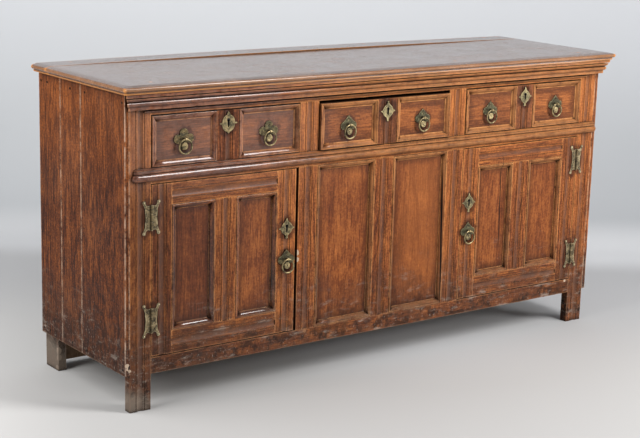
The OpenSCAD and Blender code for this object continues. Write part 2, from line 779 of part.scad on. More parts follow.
back_w = case_w - 2 * rear_stile_t;
back_board_w = (back_w - (back_count - 1) * board_gap) / back_count;

module back_nails(head = true, r = nail_shank_r)
    for (n = [0 : back_count - 1], k = [0, 1, 2])
        translate([rear_stile_t + (n + 0.5) * back_board_w + n * board_gap, inner_back_y,
                   back_rail_z[k] + back_rail_h[k] / 2]) rotate([-90, 0, 0]) {
            cylinder(h = back_t, r = r, $fn = 24);
            if (head) translate([0, 0, back_t]) cylinder(h = nail_head_h, r = nail_head_r, $fn = 24);
        }

module back_boards() color("peru") difference() {
    for (n = [0 : back_count - 1])
        block(rear_stile_t + n * (back_board_w + board_gap), inner_back_y, back_board_z,
              back_board_w, back_t, carcase_h - back_board_z);
    translate([0, -1, 0]) back_nails(false, nail_shank_r + peg_gap);
    translate([0, 1, 0]) back_nails(false, nail_shank_r + peg_gap);
}

floor_w = case_w - 2 * rear_stile_t;
floor_board_w = (floor_w - (floor_count - 1) * board_gap) / floor_count;

module floor_boards() color("peru") for (n = [0 : floor_count - 1])
    block(rear_stile_t + n * (floor_board_w + board_gap), frame_t, floor_z,
          floor_board_w, inner_back_y - frame_t, floor_t);

// Each runner fills the space behind its stile or muntin and reaches into the drawers' grooves
runner_start = 1;

module drawer_runners() color("burlywood") for (n = [0 : 3]) {
    reach_left = n > 0 ? runner_edge : 0;
    reach_right = n < 3 ? runner_edge : 0;
    block(runner_web[n][0], frame_t, runner_z - runner_h / 2,
          runner_web[n][1], runner_start, runner_h);
    block(runner_web[n][0] - reach_left, frame_t + runner_start, runner_z - runner_h / 2,
          runner_web[n][1] + reach_left + reach_right, back_rail_y - frame_t - runner_start, runner_h);
    runner_stub(n);
}

module frame_pegs() color("tan") {
    both_ends() pegs(stile_pegs);
    pegs(muntin_pegs);
    top_pegs();
}

module iron_nails() color("dimgray") {
    both_ends() side_nails();
    back_nails();
}

// Hinges: x runs from the pin over the leaf, y = 0 is the surface, z = 0 the hinge's middle
leaf_start = 0.5;
leaf_waist = 1.8;
leaf_waist_r = 60;
horn_ball_x = leaf_w + 3.5;
horn_eye_r = 4.6;
scallop_r = 7.5;
dome_x = 10.7;
dome_z = [-24, 0, 24];

module leaf_outline() {
    mid = leaf_h / 2;
    difference() {
        union() {
            translate([leaf_start, -mid]) square([leaf_w - leaf_start, leaf_h]);
            for (end = [-1, 1]) {
                polygon([
                    [leaf_w - 9, end * (mid - 2)], [leaf_w, end * (mid - 9)],
                    [horn_ball_x + 3, end * (mid + horn_reach - 2)], [horn_ball_x - 4, end * (mid + horn_reach)]
                ]);
                translate([horn_ball_x, end * (mid + horn_reach)]) circle(r = horn_eye_r);
            }
        }
        translate([leaf_w - leaf_waist + leaf_waist_r, 0]) circle(r = leaf_waist_r, $fn = 96);
        for (end = [-1, 1]) translate([dome_x - 1, end * (mid + scallop_r - 1.5)]) circle(r = scallop_r);
    }
}

module dome(r) intersection() {
    sphere(r = r, $fn = 32);
    block(-r, -r, -r, 2 * r, r, 2 * r);
}

module dome_nail() {
    rotate([-90, 0, 0]) cylinder(h = leaf_t, r = dome_r / 2, $fn = 24);
    dome(dome_r);
}

// The fixed leaf carries the two outer thirds of the knuckle, the door's leaf the middle third
knuckle_gap = 0.3;

module knuckle(from, to) translate([0, pin_y, from]) cylinder(h = to - from, r = knuckle_r);

module hinge_leaf(outer) {
    third = leaf_h / 6;
    difference() {
        union() {
            difference() {
                rotate([90, 0, 0]) linear_extrude(leaf_t) leaf_outline();
                block(-1, -leaf_t - 1, outer ? -third - knuckle_gap / 2 : third - knuckle_gap / 2,
                      knuckle_r + 1.5, leaf_t + 2, outer ? 2 * third + knuckle_gap : leaf_h);
                if (!outer)
                    block(-1, -leaf_t - 1, -leaf_h, knuckle_r + 1.5, leaf_t + 2,
                          leaf_h - third + knuckle_gap / 2);
            }
            if (outer) for (end = [-1, 1]) mirror([0, 0, end < 0 ? 1 : 0])
                knuckle(third + knuckle_gap / 2, leaf_h / 2);
            else knuckle(-third + knuckle_gap / 2, third - knuckle_gap / 2);
            for (end = [-1, 1])
                translate([horn_ball_x, -leaf_t, end * (leaf_h / 2 + horn_reach)]) dome(horn_ball_r);
        }
        translate([0, pin_y, -leaf_h]) cylinder(h = 2 * leaf_h, r = pin_r + pin_gap);
        for (z = dome_z) translate([dome_x, -leaf_t - 1, z]) rotate([-90, 0, 0])
            cylinder(h = leaf_t + 2, r = dome_r / 2 + peg_gap, $fn = 24);
    }
    for (z = dome_z) translate([dome_x, -leaf_t, z]) dome_nail();
}

// A hinge's pin line on the face plane, with +X towards the lock edge
module at_hinges(i) at_door(i) for (z = hinge_up[i]) translate([-hinge_gap / 2, 0, z]) children();

module fixed_hinge_leaves() color("darkgoldenrod")
    for (i = [0, 1]) at_hinges(i) mirror([1, 0, 0]) hinge_leaf(true);

module hinge_pins() color("gold") for (i = [0, 1]) at_hinges(i)
    translate([0, pin_y, -leaf_h / 2]) {
        cylinder(h = leaf_h, r = pin_r);
        for (end = [0, 1]) translate([0, 0, end * (leaf_h + 1) - 1]) cylinder(h = 1, r = knuckle_r * 0.8);
    }

// Ring pulls: the origin is the middle of the boss on the surface; a dish is [x, z, radius]
lobed_dishes = [[0, 34.5, 8], [-18.5, 19.5, 7.8], [18.5, 19.5, 7.8]];
pointed_dishes = [[0, 30, 7], [-16.5, 16.5, 7.2], [16.5, 16.5, 7.2]];
dish_rim = 4;
dish_deep = 0.7;
eye_up = 35;
eye_r = 2.1;
dimple_r = 1.9;
dimple_deep = 3;

module lobed_outline() {
    for (d = lobed_dishes) translate([d[0], d[1]]) circle(r = d[2] + dish_rim);
    translate([0, 20]) circle(r = 15);
}

module pointed_outline() {
    for (d = pointed_dishes) translate([d[0], d[1]]) circle(r = d[2] + dish_rim);
    translate([0, 19]) circle(r = 18.5);
    polygon([[-13, 30], [-8.5, 36.5], [-4, 40.5], [0, 45], [4, 40.5], [8.5, 36.5], [13, 30]]);
}

// A plate with sunk dishes, an eye over them and a stem down to the boss
module pull_plate(dishes) difference() {
    rotate([90, 0, 0]) linear_extrude(plate_t) difference() {
        union() {
            children();
            translate([-7, 0]) square([14, 20]);
            circle(r = boss_r - 0.7);
        }
        translate([0, eye_up]) circle(r = eye_r);
    }
    for (d = dishes) {
        dish_r = (d[2] * d[2] + dish_deep * dish_deep) / (2 * dish_deep);
        translate([d[0], dish_deep - plate_t - dish_r, d[1]]) sphere(r = dish_r, $fn = 96);
    }
}

module pull(lobed, grip) {
    if (lobed) pull_plate(lobed_dishes) lobed_outline();
    else pull_plate(pointed_dishes) pointed_outline();
    rotate([90, 0, 0]) rotate_extrude() polygon([
        [0, 0], [boss_r, 0], [boss_r, boss_h - 1.5], [boss_r - 2, boss_h],
        [dimple_r, boss_h], [dimple_r, boss_h - dimple_deep], [0, boss_h - dimple_deep]
    ]);
    difference() {
        union() {
            block(-lug_w / 2, -ring_out, pivot_up - 4, lug_w, ring_out, 8);
            translate([-lug_w / 2, -ring_out, pivot_up]) rotate([0, 90, 0])
                cylinder(h = lug_w, r = wire_r + 2.3);
        }
        translate([-lug_w, -ring_out, pivot_up]) rotate([0, 90, 0])
            cylinder(h = 2 * lug_w, r = wire_r + wire_gap);
    }
    rotate([-90, 0, 0]) cylinder(h = grip, r = shank_r);
    translate([0, grip, 0]) rotate([-90, 0, 0]) cylinder(h = 1.5, r = 2.2 * shank_r);
}

module ring() translate([0, -ring_out, pivot_up - ring_r]) rotate([90, 0, 0])
    rotate_extrude($fn = 96) translate([ring_r, 0]) circle(r = wire_r, $fn = 32);

module shank_hole(deep) translate([0, -1, 0]) rotate([-90, 0, 0])
    cylinder(h = deep + 2, r = shank_r + peg_gap);

// Escutcheons and keyholes: the origin is the middle of the plate on the surface
key_bow_up = 6.5;
key_bow_r = 3.8;
key_slot_w = 4.6;
key_slot_h = 17.5;

module keyhole_outline() {
    translate([0, key_bow_up]) circle(r = key_bow_r);
    translate([-key_slot_w / 2, key_bow_up - key_slot_h]) square([key_slot_w, key_slot_h]);
}

module keyhole(deep) translate([0, deep + 1, 0]) rotate([90, 0, 0]) linear_extrude(deep + 2)
    keyhole_outline();

// A small pointed nib with a ball at its tip, on each side of a plate
module side_nibs(from, to) for (side = [-1, 1]) {
    polygon([[side * from, -5], [side * to, 0], [side * from, 5]]);
    translate([side * to, 0]) circle(r = 1.9);
}

module crowned_outline() {
    for (end = [-3.5, 3.5]) translate([0, end]) circle(r = escutcheon_r + 0.5);
    translate([0, escutcheon_r + 4.5]) circle(r = 4.6);
    translate([0, escutcheon_r + 9]) circle(r = 2.7);
    translate([0, -escutcheon_r - 5]) circle(r = 3);
    side_nibs(escutcheon_r - 2, escutcheon_r + 6);
}

module pointed_escutcheon_outline() {
    circle(r = escutcheon_r - 0.6);
    polygon([
        [-escutcheon_r - 2, 1], [0, escutcheon_r + 7], [escutcheon_r + 2, 1], [0, -escutcheon_r - 6]
    ]);
    translate([0, escutcheon_r + 7]) circle(r = 2.3);
    translate([0, -escutcheon_r - 7]) circle(r = 3.4);
    side_nibs(escutcheon_r - 2, escutcheon_r + 4.5);
}

module escutcheon(crowned) rotate([90, 0, 0]) linear_extrude(escutcheon_t) difference() {
    union() {
        if (crowned) crowned_outline();
        else pointed_escutcheon_outline();
    }
    keyhole_outline();
}

// Locks: the origin is the keyhole on the plane of the case's front, +Z is the way the bolt leaves
lock_below = 18;
key_r = 4;
bolt_shoulder = 8;

module lock_case(reach) difference() {
    block(-lock_w / 2, 0, -lock_below, lock_w, lock_deep, lock_below + reach - lock_in);
    block(-lock_w / 2 + lock_wall, lock_wall, -lock_below + lock_wall, lock_w - 2 * lock_wall,
          lock_deep - 2 * lock_wall, lock_below + reach - lock_in - 2 * lock_wall);
    lock_mouth(reach, bolt_gap);
    translate([0, -1, 0]) rotate([-90, 0, 0]) cylinder(h = lock_wall + 1.5, r = key_r);
}

module lock_mouth(reach, gap)
    block(-bolt_w / 2 - gap, (lock_deep - bolt_t) / 2 - gap, reach - lock_in - 2 * lock_wall,
          bolt_w + 2 * gap, bolt_t + 2 * gap, lock_in + 2 * lock_wall + 20);

module lock_bolt(reach, throw) {
    foot = -lock_below + lock_wall + 1;
    block(-bolt_w / 2, (lock_deep - bolt_t) / 2, foot, bolt_w, bolt_t, reach - foot);
    block(-bolt_w / 2 - bolt_shoulder, (lock_deep - bolt_t) / 2, foot, bolt_w + 2 * bolt_shoulder, bolt_t,
          reach - lock_in - lock_wall - throw - bolt_gap - foot);
}

// A drawer's lock lies in the back of its front, a door's in the back of its lock stile
module at_drawer_lock(i) at_drawer(i)
    translate([front_w(i) / 2, drawer_front_t - lock_deep, front_h(i) - key_down]) children();

module at_door_lock(i) at_door(i)
    translate([door_w(i) - fitting_in, door_t - lock_deep, door_key_up]) rotate([0, 90, 0]) children();

module bolt_mortise_drawer(i)
    translate([bay_x[i] + bay_w[i] / 2 - bolt_w / 2 - bolt_gap,
               drawer_set_in + drawer_front_t - (lock_deep + bolt_t) / 2 + rest_y[i] - bolt_gap,
               top_rail_z - 1])
        cube([bolt_w + 2 * bolt_gap, bolt_t - rest_y[i] + 2 * bolt_gap, drawer_throw + 2]);

module bolt_mortise_door(i) at_door(i)
    translate([door_w(i) - 1, door_t - (lock_deep + bolt_t) / 2 - bolt_gap,
               door_key_up - bolt_w / 2 - bolt_gap])
        cube([lock_gap[i] + door_throw + 2, bolt_t + 2 * bolt_gap, bolt_w + 2 * bolt_gap]);

// Drawer parts, in the drawer's own place
module at_pulls(i) at_drawer(i) for (side = [-1, 1])
    translate([field_mid_x(i, side), 0, front_h(i) / 2 - pull_down]) children();

module at_pull(i, side) at_drawer(i)
    translate([field_mid_x(i, side), 0, front_h(i) / 2 - pull_down]) children();

module drawer_front(i) color("sienna") difference() {
    at_drawer(i) difference() {
        cube([front_w(i), drawer_front_t, front_h(i)]);
        for (x = [-1, front_w(i) - drawer_side_t])
            block(x, drawer_front_t - drawer_rebate, drawer_bottom_t, drawer_side_t + 1,
                  drawer_rebate + 1, front_h(i) - drawer_side_drop - drawer_bottom_t);
        translate([front_w(i) / 2, 0, front_h(i) - key_down]) keyhole(drawer_front_t);
    }
    at_pulls(i) shank_hole(drawer_front_t);
    at_drawer_lock(i) {
        block(-lock_w / 2, 0, -lock_below, lock_w, lock_deep + 1, lock_below + key_down - lock_in);
        lock_mouth(key_down, bolt_gap);
    }
}

module drawer_trim(i) color("chocolate") at_drawer(i) {
    field_w = (front_w(i) - strip_w) / 2;
    for (x = [0, front_w(i) - field_w])
        translate([x, 0, 0]) mitred_frame(field_w, front_h(i), drawer_mould_w, drawer_mould_h);
    difference() {
        block(field_w + hairline, -strip_t, 0, strip_w - 2 * hairline, strip_t, front_h(i));
        translate([front_w(i) / 2, -strip_t, -1]) run_channel(front_h(i) + 2);
        translate([front_w(i) / 2, -strip_t, front_h(i) - key_down]) keyhole(strip_t);
    }
}

module drawer_box(i) color("burlywood") at_drawer(i) {
    w = front_w(i);
    side_h = front_h(i) - drawer_side_drop - drawer_bottom_t;
    groove_h = runner_h + 2 * runner_gap;
    side_z = drawer_bottom_t + hairline;
    for (hand = [0, 1]) translate([hand * w, 0, 0]) mirror([hand, 0, 0]) difference() {
        block(0, drawer_front_t - drawer_rebate, side_z, drawer_side_t,
              drawer_len - drawer_front_t + drawer_rebate, side_h - hairline);
        block(-1, drawer_front_t, runner_z - front_bottom_z - groove_h / 2, runner_groove + 1,
              drawer_len, groove_h);
    }
    block(drawer_side_t + hairline, drawer_len - drawer_side_t, side_z,
          w - 2 * drawer_side_t - 2 * hairline, drawer_side_t, side_h - hairline);
    block(0, drawer_front_t, 0, w, drawer_len - drawer_front_t, drawer_bottom_t);
}

module drawer_brasses(i) color("darkgoldenrod") {
    at_pulls(i) pull(i == 0, drawer_front_t);
    at_drawer(i) translate([front_w(i) / 2, -strip_t, front_h(i) - key_down]) escutcheon(i == 0);
    at_drawer_lock(i) lock_case(key_down);
}

module drawer_bolt(i) color("slategray") at_drawer_lock(i) lock_bolt(key_down, drawer_throw);

module drawer_ring(i, side) color("gold") at_pull(i, side) ring();

// Door parts
function door_panel_w(i) = (door_w(i) - 2 * door_stile_w - door_muntin_w) / 2;
door_panel_h = door_h - door_top_rail_h - door_bottom_rail_h;

module at_door_panels(i) at_door(i) for (n = [0, 1])
    translate([door_stile_w + n * (door_panel_w(i) + door_muntin_w), 0, door_bottom_rail_h]) children();

module door_panel_bed(i) at_door_panels(i)
    block(-groove_deep, panel_in - panel_gap, -groove_deep, door_panel_w(i) + 2 * groove_deep,
          panel_t + 2 * panel_gap, door_panel_h + 2 * groove_deep);

module door_rail(i, z, h, grow = 0) {
    inner_w = door_w(i) - 2 * door_stile_w;
    if (grow == 0) block(door_stile_w + hairline, 0, z, inner_w - 2 * hairline, door_t, h);
    block(door_stile_w - tenon_len - grow, tenon_in - grow, z + stub_cheek - grow,
          inner_w + 2 * tenon_len + 2 * grow, tenon_t + 2 * grow, h - 2 * stub_cheek + 2 * grow);
}

module door_muntin_stubs(i, grow = 0)
    block((door_w(i) - door_muntin_w) / 2 + stub_cheek - grow, tenon_in - grow,
          door_bottom_rail_h - stub_len - grow, door_muntin_w - 2 * stub_cheek + 2 * grow,
          tenon_t + 2 * grow, door_panel_h + 2 * stub_len + 2 * grow);

module door_frame(i) color("saddlebrown") difference() {
    at_door(i) {
        top_z = door_h - door_top_rail_h;
        for (x = [0, door_w(i) - door_stile_w]) difference() {
            block(x, 0, 0, door_stile_w, door_t, door_h);
            channel_up(x + door_stile_w / 2, 0, door_h);
            door_rail(i, 0, door_bottom_rail_h, tenon_gap);
            door_rail(i, top_z, door_top_rail_h, tenon_gap);
        }
        for (r = [[0, door_bottom_rail_h], [top_z, door_top_rail_h]]) difference() {
            door_rail(i, r[0], r[1]);
            channel_along(door_stile_w, r[0] + r[1] / 2, door_w(i) - 2 * door_stile_w);
            door_muntin_stubs(i, tenon_gap);
        }
        difference() {
            union() {
                block((door_w(i) - door_muntin_w) / 2, 0, door_bottom_rail_h + hairline,
                      door_muntin_w, door_t, door_panel_h - 2 * hairline);
                door_muntin_stubs(i);
            }
            channel_up(door_w(i) / 2, door_bottom_rail_h, door_panel_h);
        }
    }
    door_panel_bed(i);
    at_door(i) {
        translate([door_w(i) - fitting_in, 0, door_key_up]) keyhole(door_t);
        translate([door_w(i) - fitting_in, 0, door_pull_up]) shank_hole(door_t);
    }
    at_door_lock(i) {
        block(-lock_w / 2, 0, -lock_below, lock_w, lock_deep + 1, lock_below + fitting_in - lock_in);
        lock_mouth(fitting_in, bolt_gap);
    }
}

module door_panels(i) color("peru") at_door_panels(i)
    block(1 - groove_deep, panel_in, 1 - groove_deep, door_panel_w(i) + 2 * groove_deep - 2, panel_t,
          door_panel_h + 2 * groove_deep - 2);

module door_trim(i) color("chocolate") at_door_panels(i) translate([0, panel_in, 0])
    mitred_frame(door_panel_w(i), door_panel_h, panel_mould_w, panel_in + panel_mould_proud);

module door_brasses(i) color("darkgoldenrod") {
    at_door(i) {
        translate([door_w(i) - fitting_in, 0, door_pull_up]) pull(false, door_t);
        translate([door_w(i) - fitting_in, 0, door_key_up]) escutcheon(false);
    }
    at_door_lock(i) lock_case(fitting_in);
}

module door_hinge_leaves(i) color("darkgoldenrod") at_hinges(i) hinge_leaf(false);

module door_bolt(i) color("slategray") at_door_lock(i) lock_bolt(fitting_in, door_throw);

module door_ring(i) color("gold") at_door(i)
    translate([door_w(i) - fitting_in, 0, door_pull_up]) ring();

at_case() front_stiles();
at_case() front_muntins();
at_case() top_rail();
at_case() waist_rail();
at_case() bottom_rail();
at_case() centre_panels();
at_case() centre_panel_mouldings();
at_case() cornice_moulding();
at_case() lip_moulding();
at_case() waist_moulding();
at_case() top_front_board();
at_case() top_rear_board();
at_case() rear_stiles();
at_case() back_rails();
at_case() inner_rails();
at_case() side_boards_left();
at_case() side_boards_right();
at_case() back_boards();
at_case() floor_boards();
at_case() drawer_runners();
at_case() frame_pegs();
at_case() iron_nails();
at_case() fixed_hinge_leaves();
at_case() hinge_pins();
at_case() drawer_front(0);  // drawer_front_left
at_case() drawer_trim(0);  // drawer_trim_left
at_case() drawer_box(0);  // drawer_box_left
at_case() drawer_brasses(0);  // drawer_brasses_left
at_case() drawer_ring(0, -1);  // ring_left_drawer_a
at_case() drawer_ring(0, 1);  // ring_left_drawer_b
at_case() drawer_bolt(0);  // lock_bolt_left_drawer
at_case() drawer_front(1);  // drawer_front_middle
at_case() drawer_trim(1);  // drawer_trim_middle
at_case() drawer_box(1);  // drawer_box_middle
at_case() drawer_brasses(1);  // drawer_brasses_middle
at_case() drawer_ring(1, -1);  // ring_middle_drawer_a
at_case() drawer_ring(1, 1);  // ring_middle_drawer_b
at_case() drawer_bolt(1);  // lock_bolt_middle_drawer
at_case() drawer_front(2);  // drawer_front_right
at_case() drawer_trim(2);  // drawer_trim_right
at_case() drawer_box(2);  // drawer_box_right
at_case() drawer_brasses(2);  // drawer_brasses_right
at_case() drawer_ring(2, -1);  // ring_right_drawer_a
at_case() drawer_ring(2, 1);  // ring_right_drawer_b
at_case() drawer_bolt(2);  // lock_bolt_right_drawer
at_case() door_frame(0);  // door_frame_left
at_case() door_panels(0);  // door_panels_left
at_case() door_trim(0);  // door_trim_left
at_case() door_brasses(0);  // door_brasses_left
at_case() door_hinge_leaves(0);  // door_hinge_leaves_left
at_case() door_ring(0);  // ring_left_door
at_case() door_bolt(0);  // lock_bolt_left_door
at_case() door_frame(1);  // door_frame_right
at_case() door_panels(1);  // door_panels_right
at_case() door_trim(1);  // door_trim_right
at_case() door_brasses(1);  // door_brasses_right
at_case() door_hinge_leaves(1);  // door_hinge_leaves_right
at_case() door_ring(1);  // ring_right_door
at_case() door_bolt(1);  // lock_bolt_right_door
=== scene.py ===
import json
import math

import bmesh
import bpy
from mathutils import Matrix, Vector, noise


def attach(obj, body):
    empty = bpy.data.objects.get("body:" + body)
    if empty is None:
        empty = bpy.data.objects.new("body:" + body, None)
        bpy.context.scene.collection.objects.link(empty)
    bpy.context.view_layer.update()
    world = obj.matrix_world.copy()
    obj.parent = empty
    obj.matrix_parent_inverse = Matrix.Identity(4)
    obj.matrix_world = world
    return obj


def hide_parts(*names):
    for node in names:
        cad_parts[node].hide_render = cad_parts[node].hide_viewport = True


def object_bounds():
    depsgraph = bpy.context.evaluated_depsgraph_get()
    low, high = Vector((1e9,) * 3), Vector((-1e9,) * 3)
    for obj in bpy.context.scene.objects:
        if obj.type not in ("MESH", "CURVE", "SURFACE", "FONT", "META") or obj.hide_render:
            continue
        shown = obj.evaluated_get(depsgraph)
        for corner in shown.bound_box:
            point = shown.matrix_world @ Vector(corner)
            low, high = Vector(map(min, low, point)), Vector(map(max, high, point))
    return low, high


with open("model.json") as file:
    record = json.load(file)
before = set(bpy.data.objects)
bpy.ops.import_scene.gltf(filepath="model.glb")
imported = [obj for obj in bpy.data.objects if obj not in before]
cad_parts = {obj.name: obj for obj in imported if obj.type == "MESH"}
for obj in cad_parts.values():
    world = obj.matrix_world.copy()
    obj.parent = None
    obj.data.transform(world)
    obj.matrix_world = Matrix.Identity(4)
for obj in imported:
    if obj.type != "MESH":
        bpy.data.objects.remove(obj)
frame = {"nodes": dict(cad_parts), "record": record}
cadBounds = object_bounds()

# Camera: place in metres, angles in degrees, lens in millimetres
photoView = {"place": (-2.7574, -3.6181, 1.4311), "azimuth": -36.643, "elevation": 12.918, "roll": 1.54,
             "lens": 86.61, "sensor": 36}


def makeCamera():
    azimuth, elevation, roll = (math.radians(photoView[k]) for k in ("azimuth", "elevation", "roll"))
    back = Vector((math.sin(azimuth) * math.cos(elevation), -math.cos(azimuth) * math.cos(elevation),
                   math.sin(elevation)))
    right = Vector((0, 0, 1)).cross(back).normalized()
    up = back.cross(right)
    turned = [right * math.cos(roll) + up * math.sin(roll),
              up * math.cos(roll) - right * math.sin(roll), back]
    camera = bpy.data.objects.new("photoCamera", bpy.data.cameras.new("photoCamera"))
    camera.matrix_world = Matrix.Translation(photoView["place"]) @ Matrix(turned).transposed().to_4x4()
    camera.data.lens = photoView["lens"]
    camera.data.sensor_width = photoView["sensor"]
    bpy.context.scene.collection.objects.link(camera)
    bpy.context.scene.camera = camera


makeCamera()
bpy.context.scene.view_settings.view_transform = "Standard"
print("camera placed")


# Shader maths: a Value is an output socket that takes part in sums
class Value:
    def __init__(self, finish, socket):
        self.finish, self.socket = finish, socket

    def maths(self, operation, *others):
        return self.finish.maths(operation, self, *others)

    def __add__(self, other):
        return self.maths("ADD", other)

    def __sub__(self, other):
        return self.maths("SUBTRACT", other)

    def __rsub__(self, other):
        return self.finish.maths("SUBTRACT", other, self)

    def __mul__(self, other):
        return self.maths("MULTIPLY", other)

    __radd__, __rmul__ = __add__, __mul__


def setStops(elements, stops):
    while len(elements) < len(stops):
        elements.new(0.5)
    for element, (position, colour) in zip(elements, stops):
        element.position, element.color = position, (*colour, 1)


occlusion = {"samples": 5}


class Finish:
    def __init__(self, name):
        self.material = bpy.data.materials.new(name)
        self.material.use_nodes = True
        self.tree = self.material.node_tree
        self.tree.nodes.clear()
        self.place = self.node("TexCoord", out="Object")

    # Settings come first, because they decide which sockets a node has
    def node(self, kind, settings=None, sockets=None, out=0):
        made = self.tree.nodes.new("ShaderNode" + kind)
        for key, value in (settings or {}).items():
            if key == "stops":
                setStops(made.color_ramp.elements, value)
            else:
                setattr(made, key, value)
        for key, value in (sockets or {}).items():
            entry = made.inputs[key]
            if isinstance(value, Value):
                self.tree.links.new(value.socket, entry)
            else:
                entry.default_value = (*value, 1) if entry.type == "RGBA" and len(value) == 3 else value
        return Value(self, made.outputs[out])

    def maths(self, operation, *values):
        return self.node("Math", {"operation": operation}, dict(enumerate(values)))

    def attribute(self, name, out="Fac"):
        return self.node("Attribute", {"attribute_name": name}, out=out)

    def axes(self, vector):
        split = self.node("SeparateXYZ", None, {"Vector": vector}).socket.node
        return [Value(self, socket) for socket in split.outputs]

    # A recipe holds the stretch of the coordinates, then scale, detail, roughness and distortion
    def pattern(self, vector, recipe):
        stretch, *settings = recipe
        if stretch:
            vector = self.node("Mapping", None, {"Vector": vector, "Scale": stretch})
        names = ("Scale", "Detail", "Roughness", "Distortion")
        return self.node("TexNoise", None, {"Vector": vector, **dict(zip(names, settings))})

    # A share from 0 at low to 1 at high
    def between(self, value, low, high):
        return self.node("MapRange", {"interpolation_type": "SMOOTHSTEP"},
                         {"Value": value, 1: low, 2: high, 3: 0.0, 4: 1.0})

    def mix(self, share, first, second, way="MIX"):
        settings = {"data_type": "RGBA", "blend_type": way}
        return self.node("Mix", settings, {0: share, 6: first, 7: second}, out=2)

    def ramp(self, value, *stops):
        return self.node("ValToRGB", {"stops": stops}, {"Fac": value})

    # Hollows and joints are found by occlusion outside the surface, arrises by occlusion inside it
    def hollows(self, reach):
        return 1 - self.node("AmbientOcclusion", occlusion, {"Distance": reach}, out="AO")

    def arrises(self, reach):
        settings = {**occlusion, "inside": True, "only_local": True}
        return 1 - self.node("AmbientOcclusion", settings, {"Distance": reach}, out="AO")

    # How far a point lies from the nearest of some spots, as a share of a spot's size: 1 on its outline
    def nearest(self, spots):
        found = None
        for where, size, lean in spots:
            sockets = {"Vector": self.place, "Location": where, "Rotation": (0, lean, 0), "Scale": size}
            spot = self.node("Mapping", {"vector_type": "TEXTURE"}, sockets)
            far = self.node("VectorMath", {"operation": "LENGTH"}, {0: spot}, out=1)
            found = far if found is None else found.maths("MINIMUM", far)
        return found

    def bump(self, height, strength, distance, normal=None):
        sockets = {"Height": height, "Strength": strength, "Distance": distance}
        return self.node("Bump", None, {**sockets, "Normal": normal} if normal else sockets)

    # Where unseen is 1, the surface lets the light through
    def finish(self, sockets, unseen=None):
        surface = self.node("BsdfPrincipled", None, sockets)
        if unseen:
            surface = self.node("MixShader", None, {0: unseen, 1: surface, 2: self.node("BsdfTransparent")})
        output = self.tree.nodes.new("ShaderNodeOutputMaterial")
        self.tree.links.new(surface.socket, output.inputs["Surface"])
        return self.material


# A node's mesh holds one or more solids: each is found by walking along its edges
def solidsOf(shape):
    shape.verts.index_update()
    shape.verts.ensure_lookup_table()
    seen = [False] * len(shape.verts)
    solids = []
    for first in range(len(seen)):
        if seen[first]:
            continue
        seen[first] = True
        found, edge = [], [shape.verts[first]]
        while edge:
            vertex = edge.pop()
            found.append(vertex)
            for link in vertex.link_edges:
                other = link.other_vert(vertex)
                if not seen[other.index]:
                    seen[other.index] = True
                    edge.append(other)
        solids.append(sorted(found, key=lambda v: v.index))
    return solids


def cornersOf(solid):
    return [Vector([pick(v.co[k] for v in solid) for k in range(3)]) for pick in (min, max)]


mergeUnder = {"distance": 2e-6, "angle": 0.4}


def merged(node):
    shape = bmesh.new()
    shape.from_mesh(frame["nodes"][node].data)
    bmesh.ops.remove_doubles(shape, verts=shape.verts, dist=mergeUnder["distance"])
    bmesh.ops.dissolve_limit(shape, angle_limit=math.radians(mergeUnder["angle"]), verts=shape.verts,
                             edges=shape.edges)
    return shape


slotOf = {row["node"]: row["material_slot"] for row in frame["record"]["subparts"]}
bodyOf = {node: body for body, members in frame["record"]["behaviour"]["bodies"].items() for node in members}

# Where the brasses sit, in metres. A keyhole has a bow and a slot, each with its height over the plate's
# middle, half width and half height
seatRules = {"frontFace": -0.210, "leastSize": 0.02, "leastWidth": 0.006, "thinPlate": 0.004,
             "keyhole": [(0.0065, 0.0050, 0.0050), (-0.0015, 0.0033, 0.0105)]}


def seats():
    found = {"plate": [], "keyhole": []}
    for node, slot in sorted(slotOf.items()):
        if "brass" not in slot:
            continue
        shape = merged(node)
        for solid in solidsOf(shape):
            low, high = cornersOf(solid)
            size = high - low
            small = max(size) < seatRules["leastSize"] or min(size.x, size.z) < seatRules["leastWidth"]
            if low.y > seatRules["frontFace"] or small:
                continue
            middle = (low + high) / 2
            found["plate"].append((middle.x, middle.z, size.x / 2, size.z / 2))
            if size.y < seatRules["thinPlate"] and slot == "brass":
                found["keyhole"] += [(middle.x, middle.z + over, *half)
                                     for over, *half in seatRules["keyhole"]]
        shape.free()
    return found


brassSeats = seats()
print("brasses found:", len(brassSeats["plate"]), "keyholes:",
      len(brassSeats["keyhole"]) // len(seatRules["keyhole"]))

